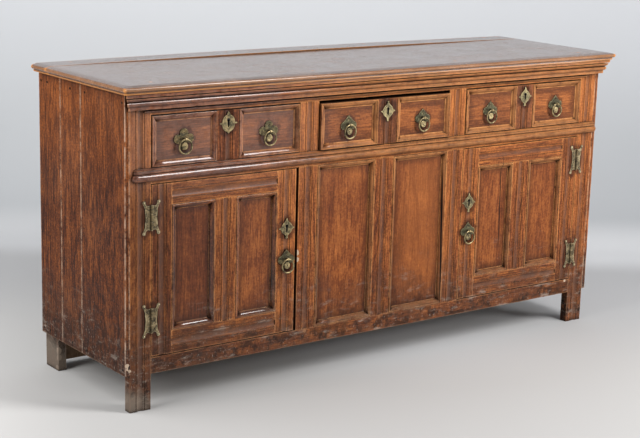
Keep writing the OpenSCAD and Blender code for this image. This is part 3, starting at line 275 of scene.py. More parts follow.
# Oak: the grain runs along each board in its own coordinates, which every board's mesh carries.
# A finish takes from here what its own row in oakLooks does not say
oakCommon = {
    "level": 0.52, "cloud": 0.65, "highGrain": 0.0,     # figure: its tone, its clouds, more grain up high
    "dust": 0.0, "lowDirt": 1.0, "specks": 0.25,        # shares of dust, of floor dirt and of specks
    "faded": 0.0, "polished": 0.42, "bloom": 0.0,       # painted light on the upper parts, painted shade on the left end, and a painted sheen
    "reach": 0.005, "rubbed": (-0.20, 0.10),            # arrises: width in metres, and where they are rubbed
    "rim": 0.0, "seam": False, "moulded": False,        # dark edges, open joints, a moulding's profile
    "marks": True, "coatGloss": 0.30, "specular": 0.08,
}
oakLooks = {
    "oak_frame": {
        "deep": (0.020, 0.0060, 0.0040), "middle": (0.170, 0.048, 0.0150), "light": (0.460, 0.158, 0.041),
        "worn": (0.55, 0.225, 0.072), "wornShare": 0.8, "gloss": 0.42, "coat": 0.40, "coatGloss": 0.34,
        "level": 0.56, "grain": 0.88, "cloud": 0.34, "faded": 0.28, "polished": 0.62, "bloom": 0.0825},
    "oak_panel": {
        "deep": (0.022, 0.0064, 0.0042), "middle": (0.140, 0.038, 0.0120), "light": (0.355, 0.117, 0.031),
        "worn": (0.46, 0.18, 0.05), "wornShare": 0.4, "gloss": 0.40, "coat": 0.80, "rim": 0.5,
        "grain": 0.60, "highGrain": 0.35, "cloud": 0.36, "faded": 0.28, "bloom": 0.0825},
    "oak_moulding": {
        "deep": (0.014, 0.0044, 0.0032), "middle": (0.095, 0.027, 0.0110), "light": (0.320, 0.100, 0.030),
        "worn": (0.55, 0.230, 0.075), "wornShare": 0.45, "gloss": 0.34, "coat": 0.85, "coatGloss": 0.13,
        "reach": 0.0036, "grain": 0.85, "cloud": 0.45, "faded": 0.12, "bloom": 0.15, "moulded": True},
    "oak_top": {
        "deep": (0.050, 0.028, 0.021), "middle": (0.110, 0.062, 0.044), "light": (0.190, 0.110, 0.073),
        "worn": (0.50, 0.20, 0.050), "wornShare": 1.0, "gloss": 0.20, "coat": 0.46, "coatGloss": 0.12,
        "reach": 0.009, "dust": 0.1, "grain": 0.7, "rubbed": (-0.45, -0.10), "marks": False,
        "specular": 0.2},
    "oak_side": {
        "deep": (0.018, 0.0054, 0.0038), "middle": (0.122, 0.032, 0.0096), "light": (0.330, 0.100, 0.024),
        "worn": (0.46, 0.26, 0.15), "wornShare": 0.7, "gloss": 0.44, "coat": 0.04, "reach": 0.007,
        "dust": 0.06, "level": 0.53, "grain": 1.5, "faded": 0.2, "seam": True, "specks": 0.45},
    "oak_bare": {
        "deep": (0.110, 0.062, 0.034), "middle": (0.215, 0.130, 0.072), "light": (0.320, 0.205, 0.120),
        "worn": (0.42, 0.28, 0.17), "wornShare": 0.4, "gloss": 0.62, "coat": 0.0, "dust": 0.2,
        "grain": 0.8, "marks": False, "lowDirt": 0.35},
}
# Tones of marks; the near-black one is for dirt, and for painted shade in creases and keyholes
oakTones = {
    "dust": (0.30, 0.255, 0.215), "dirtAndShade": (0.010, 0.006, 0.005), "floorDirt": (0.036, 0.022, 0.017),
    "channel": (0.110, 0.060, 0.042), "broken": (0.40, 0.30, 0.22), "foot": (0.170, 0.135, 0.105),
    "seamDust": (0.40, 0.30, 0.24), "lowWearAndHighlight": (0.34, 0.27, 0.21), "bloom": (0.36, 0.25, 0.22),
    "paleWearAndHighlight": (0.50, 0.235, 0.086),
}
# Stretch of the coordinates, then scale, detail, roughness and distortion
oakNoise = {
    "loops": ((0.9, 6.5, 6.5), 1.0, 2.0, 0.35, 0.3), "bands": ((3.2, 48, 48), 1.0, 5.0, 0.62, 0.9),
    "streaks": ((15, 300, 300), 1.0, 4.0, 0.65, 0.0), "fibre": ((36, 620, 620), 1.0, 2.0, 0.7, 0.0),
    "dashes": ((44, 290, 290), 1.0, 3.0, 0.6, 0.0), "clouds": (None, 9.0, 5.0, 0.65, 0.0),
    "patchy": (None, 42.0, 4.0, 0.65, 0.0), "mottle": (None, 190.0, 3.0, 0.7, 0.0),
    "dust": (None, 4.5, 5.0, 0.62, 0.0), "waves": (None, 26.0, 2.0, 0.4, 0.0),
    "specks": ((1, 1, 0.4), 230.0, 3.0, 0.7, 0.0), "scuffs": ((14, 14, 46), 1.0, 5.0, 0.75, 0.0),
}
growthLines = 150
figureStops = {"deep": 0.22, "middle": 0.50, "light": 0.80}

# Where a change begins and ends, in metres: heights, places along the front, and depths inside a board
oakZones = {
    "low": (0.06, 0.34), "faded": (0.45, 0.85), "leftShadeEnd": (-0.95, -0.15), "leftShadeUnder": (0.55, 0.70),
    "right": (-0.60, 0.0), "paintedSheenEnd": (-0.55, -0.20), "paintedSheenAbove": (0.58, 0.64),
    "paleWearAndHighlight": (0.40, 0.60), "glossAbove": (0.50, 0.65), "highGrain": (0.62, 0.64),
    "rim": (0.022, 0.048), "seam": (0.0006, 0.0030), "seamFace": (0.0012, 0.0030), "narrow": (0.0225, 0.0245),
}
# Levels between which a mark comes in: of a pattern, of occlusion, or of how far off its spot is
oakCuts = {
    "lines": (0.1, 1.0), "dashes": (0.55, 0.66), "specks": (0.66, 0.74), "dust": (0.42, 0.72),
    "pale": (0.4, 1.2), "blots": (-0.02, 0.08), "scuffs": (0.53, 0.70), "seam": (-0.14, 0.14),
    "arris": (0.16, 0.42), "paleWearAndHighlight": (-0.40, 0.15), "bloom": (-0.20, 0.08), "stain": (0.95, 1.40),
    "chip": (0.85, 1.05), "black": (0.90, 1.10), "foot": (0.6, 1.1), "shade": (0.20, 0.85),
    "grimeAndShade": (0.24, 0.46),
}
# How strongly each mark shows, and how much of its polish the right part and a rubbed arris lose
oakShares = {
    "dashes": 0.5, "boards": 0.14, "pale": 0.28, "floorDirt": 0.60, "blots": 0.8, "scuffs": 0.66,
    "lowSpecks": 0.35, "lowWearAndHighlight": 0.6, "sunk": 0.46, "stain": 0.62, "foot": 0.75, "shade": 0.56,
    "grimeAndShade": 0.97, "dullRight": 0.94, "dullRubbed": 0.7,
}
oakReach = {"shade": 0.034, "grimeAndShade": 0.013}
oakBumps = {"grain": (0.6, 0.0006), "waves": (0.5, 0.0007)}

# Marks of use. Chips and worn feet are x, y, z and radius; a pale patch is x, z, half width and half height;
# a crack is x, z, half width, half height and lean
chips = [(-0.852, -0.222, 0.134, 0.0055), (-0.850, -0.222, 0.124, 0.0045), (-0.844, -0.222, 0.118, 0.004),
         (-0.3085, -0.222, 0.372, 0.008), (-0.3085, -0.222, 0.352, 0.007), (0.7631, -0.222, 0.141, 0.004),
         (0.7575, -0.222, 0.006, 0.006), (-0.843, 0.200, 0.006, 0.010), (-0.843, 0.190, 0.060, 0.012),
         (-0.843, 0.190, 0.040, 0.010)]
wornFeet = [(-0.85, 0.235, 0.02, 0.085), (-0.84, -0.20, 0.0, 0.07)]
palePatches = [(0.16, 0.38, 0.13, 0.30)]
cracks = [(0.2255, 0.350, 0.0024, 0.205, -0.018), (0.5505, 0.447, 0.0013, 0.066, 0.059),
          (0.4660, 0.430, 0.0020, 0.150, -0.02), (-0.8455, 0.128, 0.0022, 0.006, 0.3)]
endless = 1000  # half size of a spot along the axis in which it has no end


def flatSpots(rows):
    return [((x, 0, z), (halfX, endless, halfZ), lean[0] if lean else 0)
            for x, z, halfX, halfZ, *lean in rows]


def ballSpots(rows):
    return [((x, y, z), (radius, radius, radius), 0) for x, y, z, radius in rows]


# The patterns and places that the steps of an oak finish share
def readWood(look, tint):
    own = look.attribute("own", "Vector")
    grain = look.node("VectorMath", {"operation": "ADD"}, {0: own, 1: look.attribute("luck", "Vector")})
    look.bands, look.streaks, look.fibre = (look.pattern(grain, oakNoise[k]) - 0.5
                                            for k in ("bands", "streaks", "fibre"))
    look.clouds, look.patchy, look.mottle = (look.pattern(look.place, oakNoise[k]) - 0.5
                                             for k in ("clouds", "patchy", "mottle"))
    loops = look.pattern(grain, oakNoise["loops"]) * growthLines
    look.lines = look.between(loops.maths("SINE"), *oakCuts["lines"])
    look.dashes = look.between(look.pattern(grain, oakNoise["dashes"]), *oakCuts["dashes"])
    look.dust = look.between(look.pattern(look.place, oakNoise["dust"]), *oakCuts["dust"])
    look.along, look.height = look.axes(look.place)[::2]
    halves = look.axes(look.attribute("half", "Vector"))
    look.inwards = [half - at.maths("ABSOLUTE") for half, at in zip(halves, look.axes(own))]
    look.narrow = 1 - look.between(halves[1], *oakZones["narrow"])
    look.low = (1 - look.between(look.height + look.clouds * 0.4, *oakZones["low"])) * tint["lowDirt"]
    look.right = look.between(look.along + look.clouds * 0.3, *oakZones["right"])


# Bands, streaks and growth lines, and the dark dashes of oak's pores
def figured(look, tint):
    strong = look.between(look.height, *oakZones["highGrain"]) * tint["highGrain"] + tint["grain"]
    figure = look.bands * 0.45 + look.streaks + look.fibre * 0.6 - look.lines * 0.10 + look.mottle * 0.8
    figure = figure * strong + (look.attribute("board") - 0.5) * oakShares["boards"]
    figure = figure + look.clouds * tint["cloud"] + tint["level"]
    colour = look.ramp(figure, *((position, tint[tone]) for tone, position in figureStops.items()))
    return look.mix(look.dashes * strong * oakShares["dashes"], colour, tint["deep"])


# Dust; painted light makes the upper parts lighter and painted shade makes the left end darker; then a pale
# patch
def aged(look, tint, colour):
    colour = look.mix(look.dust * tint["dust"], colour, oakTones["dust"])
    if not tint["faded"]:
        return colour
    colour = look.mix(look.between(look.height, *oakZones["faded"]) * tint["faded"], colour, tint["light"])
    polished = 1 - look.between(look.along + look.clouds * 0.3, *oakZones["leftShadeEnd"])
    polished = polished * (1 - look.between(look.height, *oakZones["leftShadeUnder"]) * 0.5)
    colour = look.mix(polished * tint["polished"], colour, tint["deep"])
    pale = look.nearest(flatSpots(palePatches)) + look.clouds * 0.8
    pale = 1 - look.between(pale, *oakCuts["pale"])
    return look.mix(pale * oakShares["pale"], colour, tint["light"])


# Dirt, blots and scuffs near the floor, and specks that gather there
def soiled(look, tint, colour):
    uneven = look.streaks + look.patchy * 1.6 + look.mottle + oakShares["floorDirt"]
    colour = look.mix(look.low * uneven, colour, oakTones["floorDirt"])
    blots = look.between(look.clouds + look.patchy * 0.5, *oakCuts["blots"])
    colour = look.mix(blots * look.low * oakShares["blots"], colour, oakTones["dirtAndShade"])
    scuffs = look.between(look.pattern(look.place, oakNoise["scuffs"]), *oakCuts["scuffs"])
    colour = look.mix(scuffs * look.low * oakShares["scuffs"], colour, oakTones["dust"])
    specks = look.pattern(look.place, oakNoise["specks"]) + look.low * 0.06
    specks = look.between(specks, *oakCuts["specks"]) * (look.low * oakShares["lowSpecks"] + tint["specks"])
    return look.mix(specks, colour, oakTones["dust"])


# The edges of a panel hold old polish, and the joints of the side boards have opened and filled with dust
def edged(look, tint, colour):
    if tint["rim"]:
        rim = look.inwards[0].maths("MINIMUM", look.inwards[1]) + look.patchy * 0.02
        rim = (1 - look.between(rim, *oakZones["rim"])) * tint["rim"]
        colour = look.mix(rim, colour, tint["deep"])
    if tint["seam"]:
        seam = 1 - look.between(look.inwards[1] + look.mottle * 0.002, *oakZones["seam"])
        seam = seam * (1 - look.between(look.inwards[2], *oakZones["seamFace"]))
        seam = seam * look.between(look.patchy, *oakCuts["seam"])
        colour = look.mix(seam, colour, oakTones["seamDust"])
    return colour


# Arrises are rubbed, low ones pale with a painted highlight; small mouldings are worn and pale at the right,
# partly a painted highlight; a painted sheen lies at the upper left; channel bottoms are painted darker as
# dirt and shade
def rubbed(look, tint, colour):
    rub = look.between(look.arrises(tint["reach"]), *oakCuts["arris"])
    rub = rub * look.between(look.patchy, *tint["rubbed"]) * (1 - look.low * 0.8)
    # Arrises near the floor are painted pale: wear, and a painted highlight
    colour = look.mix(rub * look.low * oakShares["lowWearAndHighlight"], colour, oakTones["lowWearAndHighlight"])
    share = tint["wornShare"]
    # Small mouldings are rubbed more and painted pale at the right: wear, and a painted highlight
    if tint["moulded"]:
        rub = rub * (look.narrow * 0.65 + 0.35)
        share = look.right * 0.25 + share
    colour = look.mix(rub * share, colour, tint["worn"])
    if tint["moulded"]:
        pale = look.between(look.patchy + look.streaks * 0.6, *oakCuts["paleWearAndHighlight"])
        pale = pale * (look.between(look.height, *oakZones["paleWearAndHighlight"]) * 0.5 + 0.5)
        pale = look.right * pale * (look.narrow * 0.32 + 0.04)
        colour = look.mix(pale, colour, oakTones["paleWearAndHighlight"])
    if tint["bloom"]:
        # A painted sheen: a pale grey film at the upper left stands in for the highlights of the polish
        bloom = 1 - look.between(look.along + look.clouds * 0.3, *oakZones["paintedSheenEnd"])
        bloom = bloom * look.between(look.height, *oakZones["paintedSheenAbove"])
        bloom = bloom * look.between(look.patchy + look.streaks * 0.5, *oakCuts["bloom"])
        if tint["moulded"]:
            bloom = bloom * look.narrow
        colour = look.mix(bloom * tint["bloom"], colour, oakTones["bloom"])
    look.polish = (1 - rub * look.right * oakShares["dullRubbed"]) * tint["coat"]
    # The bottoms of the run channels are painted darker: dirt and painted shade
    sunk = look.attribute("sunk") * (look.patchy * 0.9 + oakShares["sunk"])
    return look.mix(sunk, colour, oakTones["channel"])


# Stains round the brasses, chips, keyholes painted black as the shade inside them, dark cracks, and worn feet
def marked(look, tint, colour):
    if not tint["marks"]:
        return colour
    waxed = look.between(look.height, *oakZones["glossAbove"]) * 0.7 + 0.3
    if tint["moulded"]:
        waxed = look.narrow * 0.8 + 0.2
    stain = look.nearest(flatSpots(brassSeats["plate"])) + look.patchy * 1.4
    stain = 1 - look.between(stain, *oakCuts["stain"])
    colour = look.mix(stain * oakShares["stain"], colour, tint["deep"])
    chip = look.nearest(ballSpots(chips)) + look.patchy * 1.6
    chip = 1 - look.between(chip, *oakCuts["chip"])
    colour = look.mix(chip, colour, oakTones["broken"])
    # Keyholes are painted black, as the shade inside them; cracks are painted as black lines
    black = look.nearest(flatSpots(brassSeats["keyhole"] + cracks))
    black = 1 - look.between(black, *oakCuts["black"])
    colour = look.mix(black, colour, oakTones["dirtAndShade"])
    look.polish = look.polish * (1 - look.right * oakShares["dullRight"]) * waxed * (1 - black)
    foot = look.nearest(ballSpots(wornFeet)) + look.patchy * 0.8
    foot = 1 - look.between(foot, *oakCuts["foot"])
    return look.mix(foot * oakShares["foot"], colour, oakTones["foot"])


def oak(name):
    tint = {**oakCommon, **oakLooks[name]}
    look = Finish(name)
    readWood(look, tint)
    colour = figured(look, tint)
    for step in (aged, soiled, edged, rubbed, marked):
        colour = step(look, tint, colour)
    # Painted shade near mouldings, brasses and joints, then near-black dirt and painted shade in quirks, gaps
    # and creases
    shade = look.between(look.hollows(oakReach["shade"]) + look.patchy * 0.25, *oakCuts["shade"])
    grimeAndShade = look.between(look.hollows(oakReach["grimeAndShade"]) + look.patchy * 0.12, *oakCuts["grimeAndShade"])
    colour = look.mix(shade * oakShares["shade"], colour, tint["deep"])
    colour = look.mix(grimeAndShade * oakShares["grimeAndShade"], colour, oakTones["dirtAndShade"])
    roughness = (look.clouds * 0.25 + look.mottle * 0.2 + grimeAndShade * 0.3 + look.low * 0.15 + look.dashes * 0.1
                 + look.dust * tint["dust"] + tint["gloss"])
    relief = look.fibre * 0.4 + look.streaks * 0.6 - look.dashes * 0.3 + look.mottle * 0.8
    normal = look.bump(relief, *oakBumps["grain"])
    normal = look.bump(look.pattern(look.place, oakNoise["waves"]), *oakBumps["waves"], normal)
    return look.finish({"Base Color": colour, "Roughness": roughness, "Normal": normal,
                        "Coat Weight": look.polish * (1 - grimeAndShade), "Coat Roughness": tint["coatGloss"],
                        "Specular IOR Level": tint["specular"]})


# Cast brass has a green-brown patina, more golden at the left, and is bare where hands rub it; iron is dull
metalLooks = {
    "brass": {"bare": (0.50, 0.385, 0.195), "patina": (0.070, 0.072, 0.037), "golden": (0.150, 0.100, 0.042),
              "deep": (0.010, 0.010, 0.007), "gloss": 0.34, "proud": 0.31, "keyholes": True},
    "hinge_brass": {"bare": (0.62, 0.52, 0.32), "patina": (0.175, 0.118, 0.052),
                    "golden": (0.175, 0.118, 0.052), "deep": (0.020, 0.014, 0.008), "gloss": 0.38,
                    "proud": 0.60, "keyholes": False},
    "iron": {"bare": (0.20, 0.18, 0.16), "patina": (0.060, 0.048, 0.040), "golden": (0.060, 0.048, 0.040),
             "deep": (0.012, 0.010, 0.009), "gloss": 0.5, "proud": 0.0, "keyholes": False},
}
metalNoise = {"clouds": (None, 75.0, 4.0, 0.6, 0.0), "blotches": (None, 260.0, 3.0, 0.6, 0.0),
              "pits": (None, 900.0, 2.0, 0.6, 0.0)}
metalCuts = {"rub": (0.16, 0.46), "grimeAndShade": (0.22, 0.60), "goldenEnd": (-0.60, -0.05),
             "golden": (-0.16, 0.04), "patina": (-0.14, 0.10), "pits": (0.55, 0.7),
             "behind": (-0.2125, -0.2118), "keyhole": (0.95, 1.15)}
metalShares = {"bare": 0.75, "bareLeast": 0.08, "pits": 0.4, "grimeAndShade": 0.95, "metallic": 0.70}
metalReach = {"rub": 0.0018, "grimeAndShade": 0.005}
metalBump = (0.6, 0.0008)
shadeBlack = (0.004, 0.003, 0.002)


def metal(name):
    tint = metalLooks[name]
    look = Finish(name)
    proud = look.attribute("proud")
    clouds, blotches = (look.pattern(look.place, metalNoise[k]) - 0.5 for k in ("clouds", "blotches"))
    pits = look.pattern(look.place, metalNoise["pits"])
    rub = look.arrises(metalReach["rub"]) * 0.7 + clouds * 0.8 + blotches * 0.4 + proud * tint["proud"]
    rub = look.between(rub, *metalCuts["rub"])
    # Dirt and painted shade in hollows and where parts lie close together
    grimeAndShade = look.between(look.hollows(metalReach["grimeAndShade"]) + clouds * 0.3, *metalCuts["grimeAndShade"])
    along, depth = look.axes(look.place)[:2]
    golden = 1 - look.between(along + clouds * 0.6, *metalCuts["goldenEnd"])
    golden = golden * look.between(clouds - blotches, *metalCuts["golden"])
    patina = look.mix(golden, tint["patina"], tint["golden"])
    colour = look.mix(look.between(clouds + blotches, *metalCuts["patina"]), tint["deep"], patina)
    colour = look.mix(rub * metalShares["bare"] + metalShares["bareLeast"], colour, tint["bare"])
    colour = look.mix(look.between(pits, *metalCuts["pits"]) * metalShares["pits"], colour, tint["deep"])
    colour = look.mix(grimeAndShade * (1 - proud * 0.6) * metalShares["grimeAndShade"], colour, tint["deep"])
    # What lies behind the wood's face is painted near black as shade, and a keyhole is painted black as the
    # shade in it
    behind = look.between(depth, *metalCuts["behind"])
    if tint["keyholes"]:
        keyhole = 1 - look.between(look.nearest(flatSpots(brassSeats["keyhole"])), *metalCuts["keyhole"])
        behind = behind.maths("MAXIMUM", keyhole)
    colour = look.mix(behind, colour, shadeBlack)
    roughness = (1 - rub) * 0.16 + grimeAndShade * 0.3 + behind * 0.3 + tint["gloss"]
    metallic = (rub * 0.15 - grimeAndShade * 0.6 + metalShares["metallic"]) * (1 - behind)
    normal = look.bump(pits * 0.3 + blotches * 0.6 + clouds, *metalBump)
    return look.finish({"Base Color": colour, "Metallic": metallic, "Roughness": roughness, "Normal": normal})


finishes = {name: oak(name) for name in oakLooks} | {name: metal(name) for name in metalLooks}
print("finishes mixed:", len(finishes))


# Every node gets a worn copy: its loose triangles merged, its arrises eased and its faces hand-planed.
# Lengths in metres, angles in degrees
handWork = {
    "ease": 0.0011, "easeLeast": 4, "sharpAngle": 40,   # an arris: its eased width, least length in widths
    "cutPitch": 0.035, "leastCuts": 4,                  # cuts across a long run
    "wander": 0.00045, "wanderScale": 9.0, "seed": 7,   # how far a face wanders, and how often
    "bow": 0.004, "rearBoardFrom": 0.171,               # rise of the rear top board, and where it begins
    "woodSmooth": 24, "metalSmooth": 38,                # edges under these angles are shaded smooth
}
liftedAbove = {"top_rear_board": 0.857, "frame_pegs": 0.875}  # the height from which each is lifted
plainNodes = {"frame_pegs", "iron_nails", "hinge_pins"}


def easeArrises(shape, width, angle):
    for solid in solidsOf(shape):
        sharp = [e for v in solid for e in v.link_edges
                 if e.verts[0] == v and e.is_manifold and e.calc_face_angle_signed(0) > math.radians(angle)
                 and e.calc_length() > handWork["easeLeast"] * width]
        sharp.sort(key=lambda e: tuple(sorted(v.index for v in e.verts)))
        bmesh.ops.bevel(shape, geom=sharp, offset=width, offset_type="OFFSET", segments=2, profile=0.5,
                        affect="EDGES", clamp_overlap=True, material=-1)


# Cuts across the long runs, so that they can wander
def cutRuns(shape, pitch):
    for axis in range(3):
        low = min(v.co[axis] for v in shape.verts)
        high = max(v.co[axis] for v in shape.verts)
        count = int((high - low) / pitch)
        if count < handWork["leastCuts"]:
            continue
        normal = Vector([1.0 if k == axis else 0.0 for k in range(3)])
        for n in range(1, count):
            point = normal * (low + (high - low) * n / count)
            bmesh.ops.bisect_plane(shape, geom=shape.verts[:] + shape.edges[:] + shape.faces[:],
                                   plane_co=point, plane_no=normal, dist=1e-6)


def wander(shape, amount, scale):
    for v in shape.verts:
        v.co += noise.noise_vector(v.co * scale) * amount


# Pieces with a run channel, and the depths in metres between which its bottom is painted darker, as dirt and
# painted shade
channelled = {"front_stiles", "front_muntins", "door_frame_left", "door_frame_right",
              "drawer_trim_left", "drawer_trim_middle", "drawer_trim_right"}
channel = {"leastWidth": 0.045, "from": 0.0008, "fade": 0.0014, "deepest": 0.006}
# Brass that hands rub bare: small nail heads, the hinges' tips and the bosses of the pulls
proudParts = {"nail": 0.008, "tipFrom": 0.036, "tipFace": 0.0018,
              "pull": 0.012, "boss": 0.0115, "fade": 0.003}
figureShift = {"along": 3, "across": 0.06}


def limited(value):
    return max(0, min(1, value))


# A board's own number from 0 to 1, the same in every run
def boardChance(n, salt):
    return (math.sin(12.9 * n + 78.2 * salt) * 43758.5) % 1


# Each solid's own coordinates, x along its longest side, with half its size and a shift, so that no two
# boards share their figure; then its own number, and what is sunk or stands proud
def writeGrain(mesh, shape, node, salt):
    own, half, luck = (shape.verts.layers.float_vector.new(name) for name in ("own", "half", "luck"))
    board, sunk, proud = (shape.verts.layers.float.new(name) for name in ("board", "sunk", "proud"))
    shape.verts.index_update()
    for n, solid in enumerate(solidsOf(shape)):
        low, high = cornersOf(solid)
        middle, size = (low + high) / 2, high - low
        order = sorted(range(3), key=lambda k: -size[k])
        chance = noise.random_unit_vector() * figureShift["along"]
        shift = (chance.x, chance.y * figureShift["across"], chance.z * figureShift["across"])
        share = boardChance(n, salt)
        hasChannel = node in channelled and min(size.x, size.z) > channel["leastWidth"]
        for v in solid:
            inside = v.co - middle
            v[own] = [inside[k] for k in order]
            v[half] = [size[k] / 2 for k in order]
            v[luck] = shift
            v[board] = share
            depth = v.co.y - low.y
            if hasChannel and depth < channel["deepest"]:
                v[sunk] = limited((depth - channel["from"]) / channel["fade"])
            if "hinge_leaves" in node:
                atTip = abs(inside.z) > proudParts["tipFrom"] and high.y - v.co.y > proudParts["tipFace"]
                v[proud] = 1 if max(size) < proudParts["nail"] or atTip else 0
            elif node.startswith("ring"):
                v[proud] = 1
            elif "brasses" in node and size.y > proudParts["pull"]:
                v[proud] = limited((proudParts["boss"] - depth) / proudParts["fade"])
    shape.to_mesh(mesh)


# The rear top board has lifted in the middle of its length, with the pegs in it
def bow(shape, above):
    length = cadBounds[1][0] - cadBounds[0][0]
    for v in shape.verts:
        if v.co.y > handWork["rearBoardFrom"] and v.co.z > above:
            v.co.z += handWork["bow"] * math.cos(math.pi * v.co.x / length)


def pieceFrom(shape, name, finish, body, salt, replaced, smoothUnder):
    mesh = bpy.data.meshes.new(name)
    writeGrain(mesh, shape, replaced[0], salt)
    shape.free()
    mesh.polygons.foreach_set("use_smooth", [True] * len(mesh.polygons))
    mesh.set_sharp_from_angle(angle=math.radians(smoothUnder))
    mesh.materials.append(finishes[finish])
    piece = bpy.data.objects.new(name, mesh)
    bpy.context.scene.collection.objects.link(piece)
    even = piece.modifiers.new("evenNormals", "WEIGHTED_NORMAL")
    even.keep_sharp = True
    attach(piece, body)
    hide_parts(*replaced)


def wearNodes():
    noise.seed_set(handWork["seed"])
    for salt, node in enumerate(sorted(frame["nodes"])):
        finish = slotOf[node]
        shape = merged(node)
        wooden = finish.startswith("oak")
        if wooden and node not in plainNodes:
            easeArrises(shape, handWork["ease"], handWork["sharpAngle"])
            cutRuns(shape, handWork["cutPitch"])
        if wooden:
            wander(shape, handWork["wander"], handWork["wanderScale"])
        if node in liftedAbove:
            bow(shape, liftedAbove[node])
        smoothUnder = handWork["woodSmooth" if wooden else "metalSmooth"]
        pieceFrom(shape, node + "_worn", finish, bodyOf[node], salt, [node], smoothUnder)


wearNodes()
print("worn copies made")

# Floor and backdrop in one sweep square to the camera: x runs across, y away from the camera, z up
studio = {
    "bendFrom": 5.75, "bend": 0.75, "bendSteps": 16, "wallTop": 4.5, "halfWidth": 7.0, "behindCamera": 3.5,
    "floorNear": (0.425, 0.418, 0.409), "floorFar": (0.420, 0.420, 0.426), "farFrom": (4.3, 5.3),
    "floorLitLeft": (0.62, 0.615, 0.60), "leftUntil": (-1.4, -0.45), "leftFades": (4.2, 5.4), "leftFaded": 0.85,
    "floorLit": (0.58, 0.585, 0.596), "litBendFrom": (5.45, 5.72),
    "floorLitFront": (0.47, 0.475, 0.48), "frontUntil": (3.2, 3.6),
    "litSpot": ((0.12, 4.68, 0), (0.60, 0.42, endless), 0), "litSpotFades": (0.3, 1.4), "litSpotShare": 0.55,
    "wallLow": (0.455, 0.468, 0.482), "wallHigh": (0.605, 0.618, 0.638), "highFrom": (0.25, 0.95),
    "wallShadedRight": (0.80, 0.80, 0.805), "rightFrom": (-0.6, 1.8), "wallFrom": (0.0, 0.08),
    "mottle": (None, 0.9, 3.0), "mottleColour": (0.4, 0.4, 0.4), "mottleShare": 0.10,
    "roughness": 0.75, "specular": 0.25,
    "air": (0.88, 0.90, 0.94), "airLevel": 0.26,
}


def paper():
    look = Finish("studioPaper")
    across, depth, height = look.axes(look.place)
    # The paper's tones carry painted light and shade: the floor is lighter at the left and at the front, a
    # lighter spot lies over the dresser's shadow in front of it, a lighter band lies at the bend, and the
    # wall is lighter up high and darker at the right
    floor = look.mix(look.between(depth, *studio["farFrom"]), studio["floorNear"], studio["floorFar"])
    left = 1 - look.between(across, *studio["leftUntil"])
    left = left * (1 - look.between(depth, *studio["leftFades"]) * studio["leftFaded"])
    floor = look.mix(left, floor, studio["floorLitLeft"])
    pale = 1 - look.between(look.nearest([studio["litSpot"]]), *studio["litSpotFades"])
    floor = look.mix(pale * studio["litSpotShare"], floor, studio["floorLit"])
    floor = look.mix(look.between(depth, *studio["litBendFrom"]), floor, studio["floorLit"])
    floor = look.mix(1 - look.between(depth, *studio["frontUntil"]), floor, studio["floorLitFront"])
    wall = look.mix(look.between(height, *studio["highFrom"]), studio["wallLow"], studio["wallHigh"])
    wall = look.mix(look.between(across, *studio["rightFrom"]), wall, studio["wallShadedRight"], "MULTIPLY")
    colour = look.mix(look.between(height, *studio["wallFrom"]), floor, wall)
    mottle = look.pattern(look.place, studio["mottle"]) * studio["mottleShare"]
    colour = look.mix(mottle, colour, studio["mottleColour"])
    # From behind, where its faces point, the paper lets the camera through
    unseen = (1 - look.node("NewGeometry", out="Backfacing")) * look.node("LightPath", out="Is Camera Ray")
    return look.finish({"Base Color": colour, "Roughness": studio["roughness"],
                        "Specular IOR Level": studio["specular"]}, unseen)


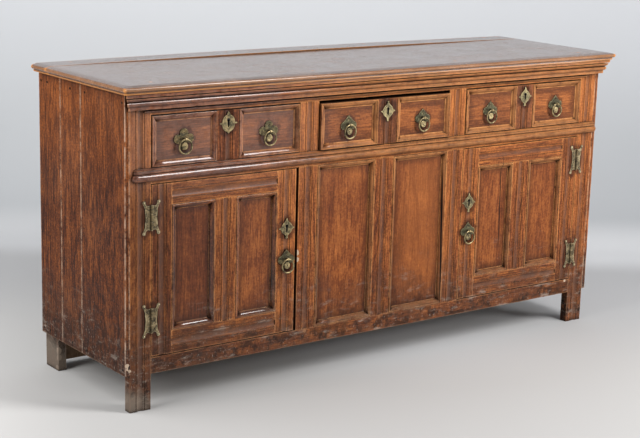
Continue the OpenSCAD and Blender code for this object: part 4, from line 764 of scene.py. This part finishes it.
def makeSweep():
    shape = bmesh.new()
    bend, start, steps = studio["bend"], studio["bendFrom"], studio["bendSteps"]
    line = [(-studio["behindCamera"], 0.0), (start, 0.0)]
    for n in range(1, steps + 1):
        turn = math.radians(90 * n / steps)
        line.append((start + bend * math.sin(turn), bend - bend * math.cos(turn)))
    line.append((start + bend, studio["wallTop"]))
    verts = [shape.verts.new((-studio["halfWidth"], y, z)) for y, z in line]
    edges = [shape.edges.new(pair) for pair in zip(verts, verts[1:])]
    grown = bmesh.ops.extrude_edge_only(shape, edges=edges)["geom"]
    bmesh.ops.translate(shape, vec=(2 * studio["halfWidth"], 0, 0),
                        verts=[v for v in grown if isinstance(v, bmesh.types.BMVert)])
    bmesh.ops.recalc_face_normals(shape, faces=shape.faces)
    mesh = bpy.data.meshes.new("studioSweep")
    shape.to_mesh(mesh)
    shape.free()
    mesh.polygons.foreach_set("use_smooth", [True] * len(mesh.polygons))
    mesh.materials.append(paper())
    sweep = bpy.data.objects.new("studioSweep", mesh)
    sweep.location = (photoView["place"][0], photoView["place"][1], 0)
    sweep.rotation_euler = (0, 0, math.radians(photoView["azimuth"]))
    bpy.context.scene.collection.objects.link(sweep)


# Soft lamps. Only two of them show in polish and brass: the others would whiten the waxed top when it is
# seen from the side or from behind
lampSet = {
    "overhead": {"place": (0.95, -2.1, 2.35), "aim": (-0.4, -0.2, 0.6), "size": (0.8, 1.5), "watts": 82,
                 "glossy": True},
    "leftSide": {"place": (-3.7, -0.3, 2.0), "aim": (-0.8, 0, 0.4), "size": (1.6, 1.6), "watts": 88,
                 "glossy": False},
    "leftFloor": {"place": (-2.3, 0.7, 2.5), "aim": (-1.4, 0.6, 0), "size": (1.6, 1.6), "watts": 46,
                  "glossy": False},
    "frontRight": {"place": (3.5, -3.9, 1.7), "aim": (0, 0, 0.45), "size": (1.9, 1.0), "watts": 162,
                   "glossy": False},
    "lowGlint": {"place": (3.3, -3.8, 0.52), "aim": (0, 0, 0.55), "size": (1.7, 0.6), "watts": 38,
                 "glossy": True},
}


def makeLamps():
    for name, lamp in lampSet.items():
        data = bpy.data.lights.new(name, "AREA")
        data.shape, data.size, data.size_y, data.energy = "RECTANGLE", *lamp["size"], lamp["watts"]
        made = bpy.data.objects.new(name, data)
        made.location = lamp["place"]
        made.visible_glossy = lamp["glossy"]
        towards = Vector(lamp["aim"]) - Vector(lamp["place"])
        made.rotation_euler = towards.to_track_quat("-Z", "Y").to_euler()
        bpy.context.scene.collection.objects.link(made)


def makeAir():
    world = bpy.data.worlds.new("studioAir")
    world.use_nodes = True
    background = world.node_tree.nodes["Background"].inputs
    background["Color"].default_value = (*studio["air"], 1)
    background["Strength"].default_value = studio["airLevel"]
    bpy.context.scene.world = world


makeSweep()
makeLamps()
makeAir()
print("studio set")
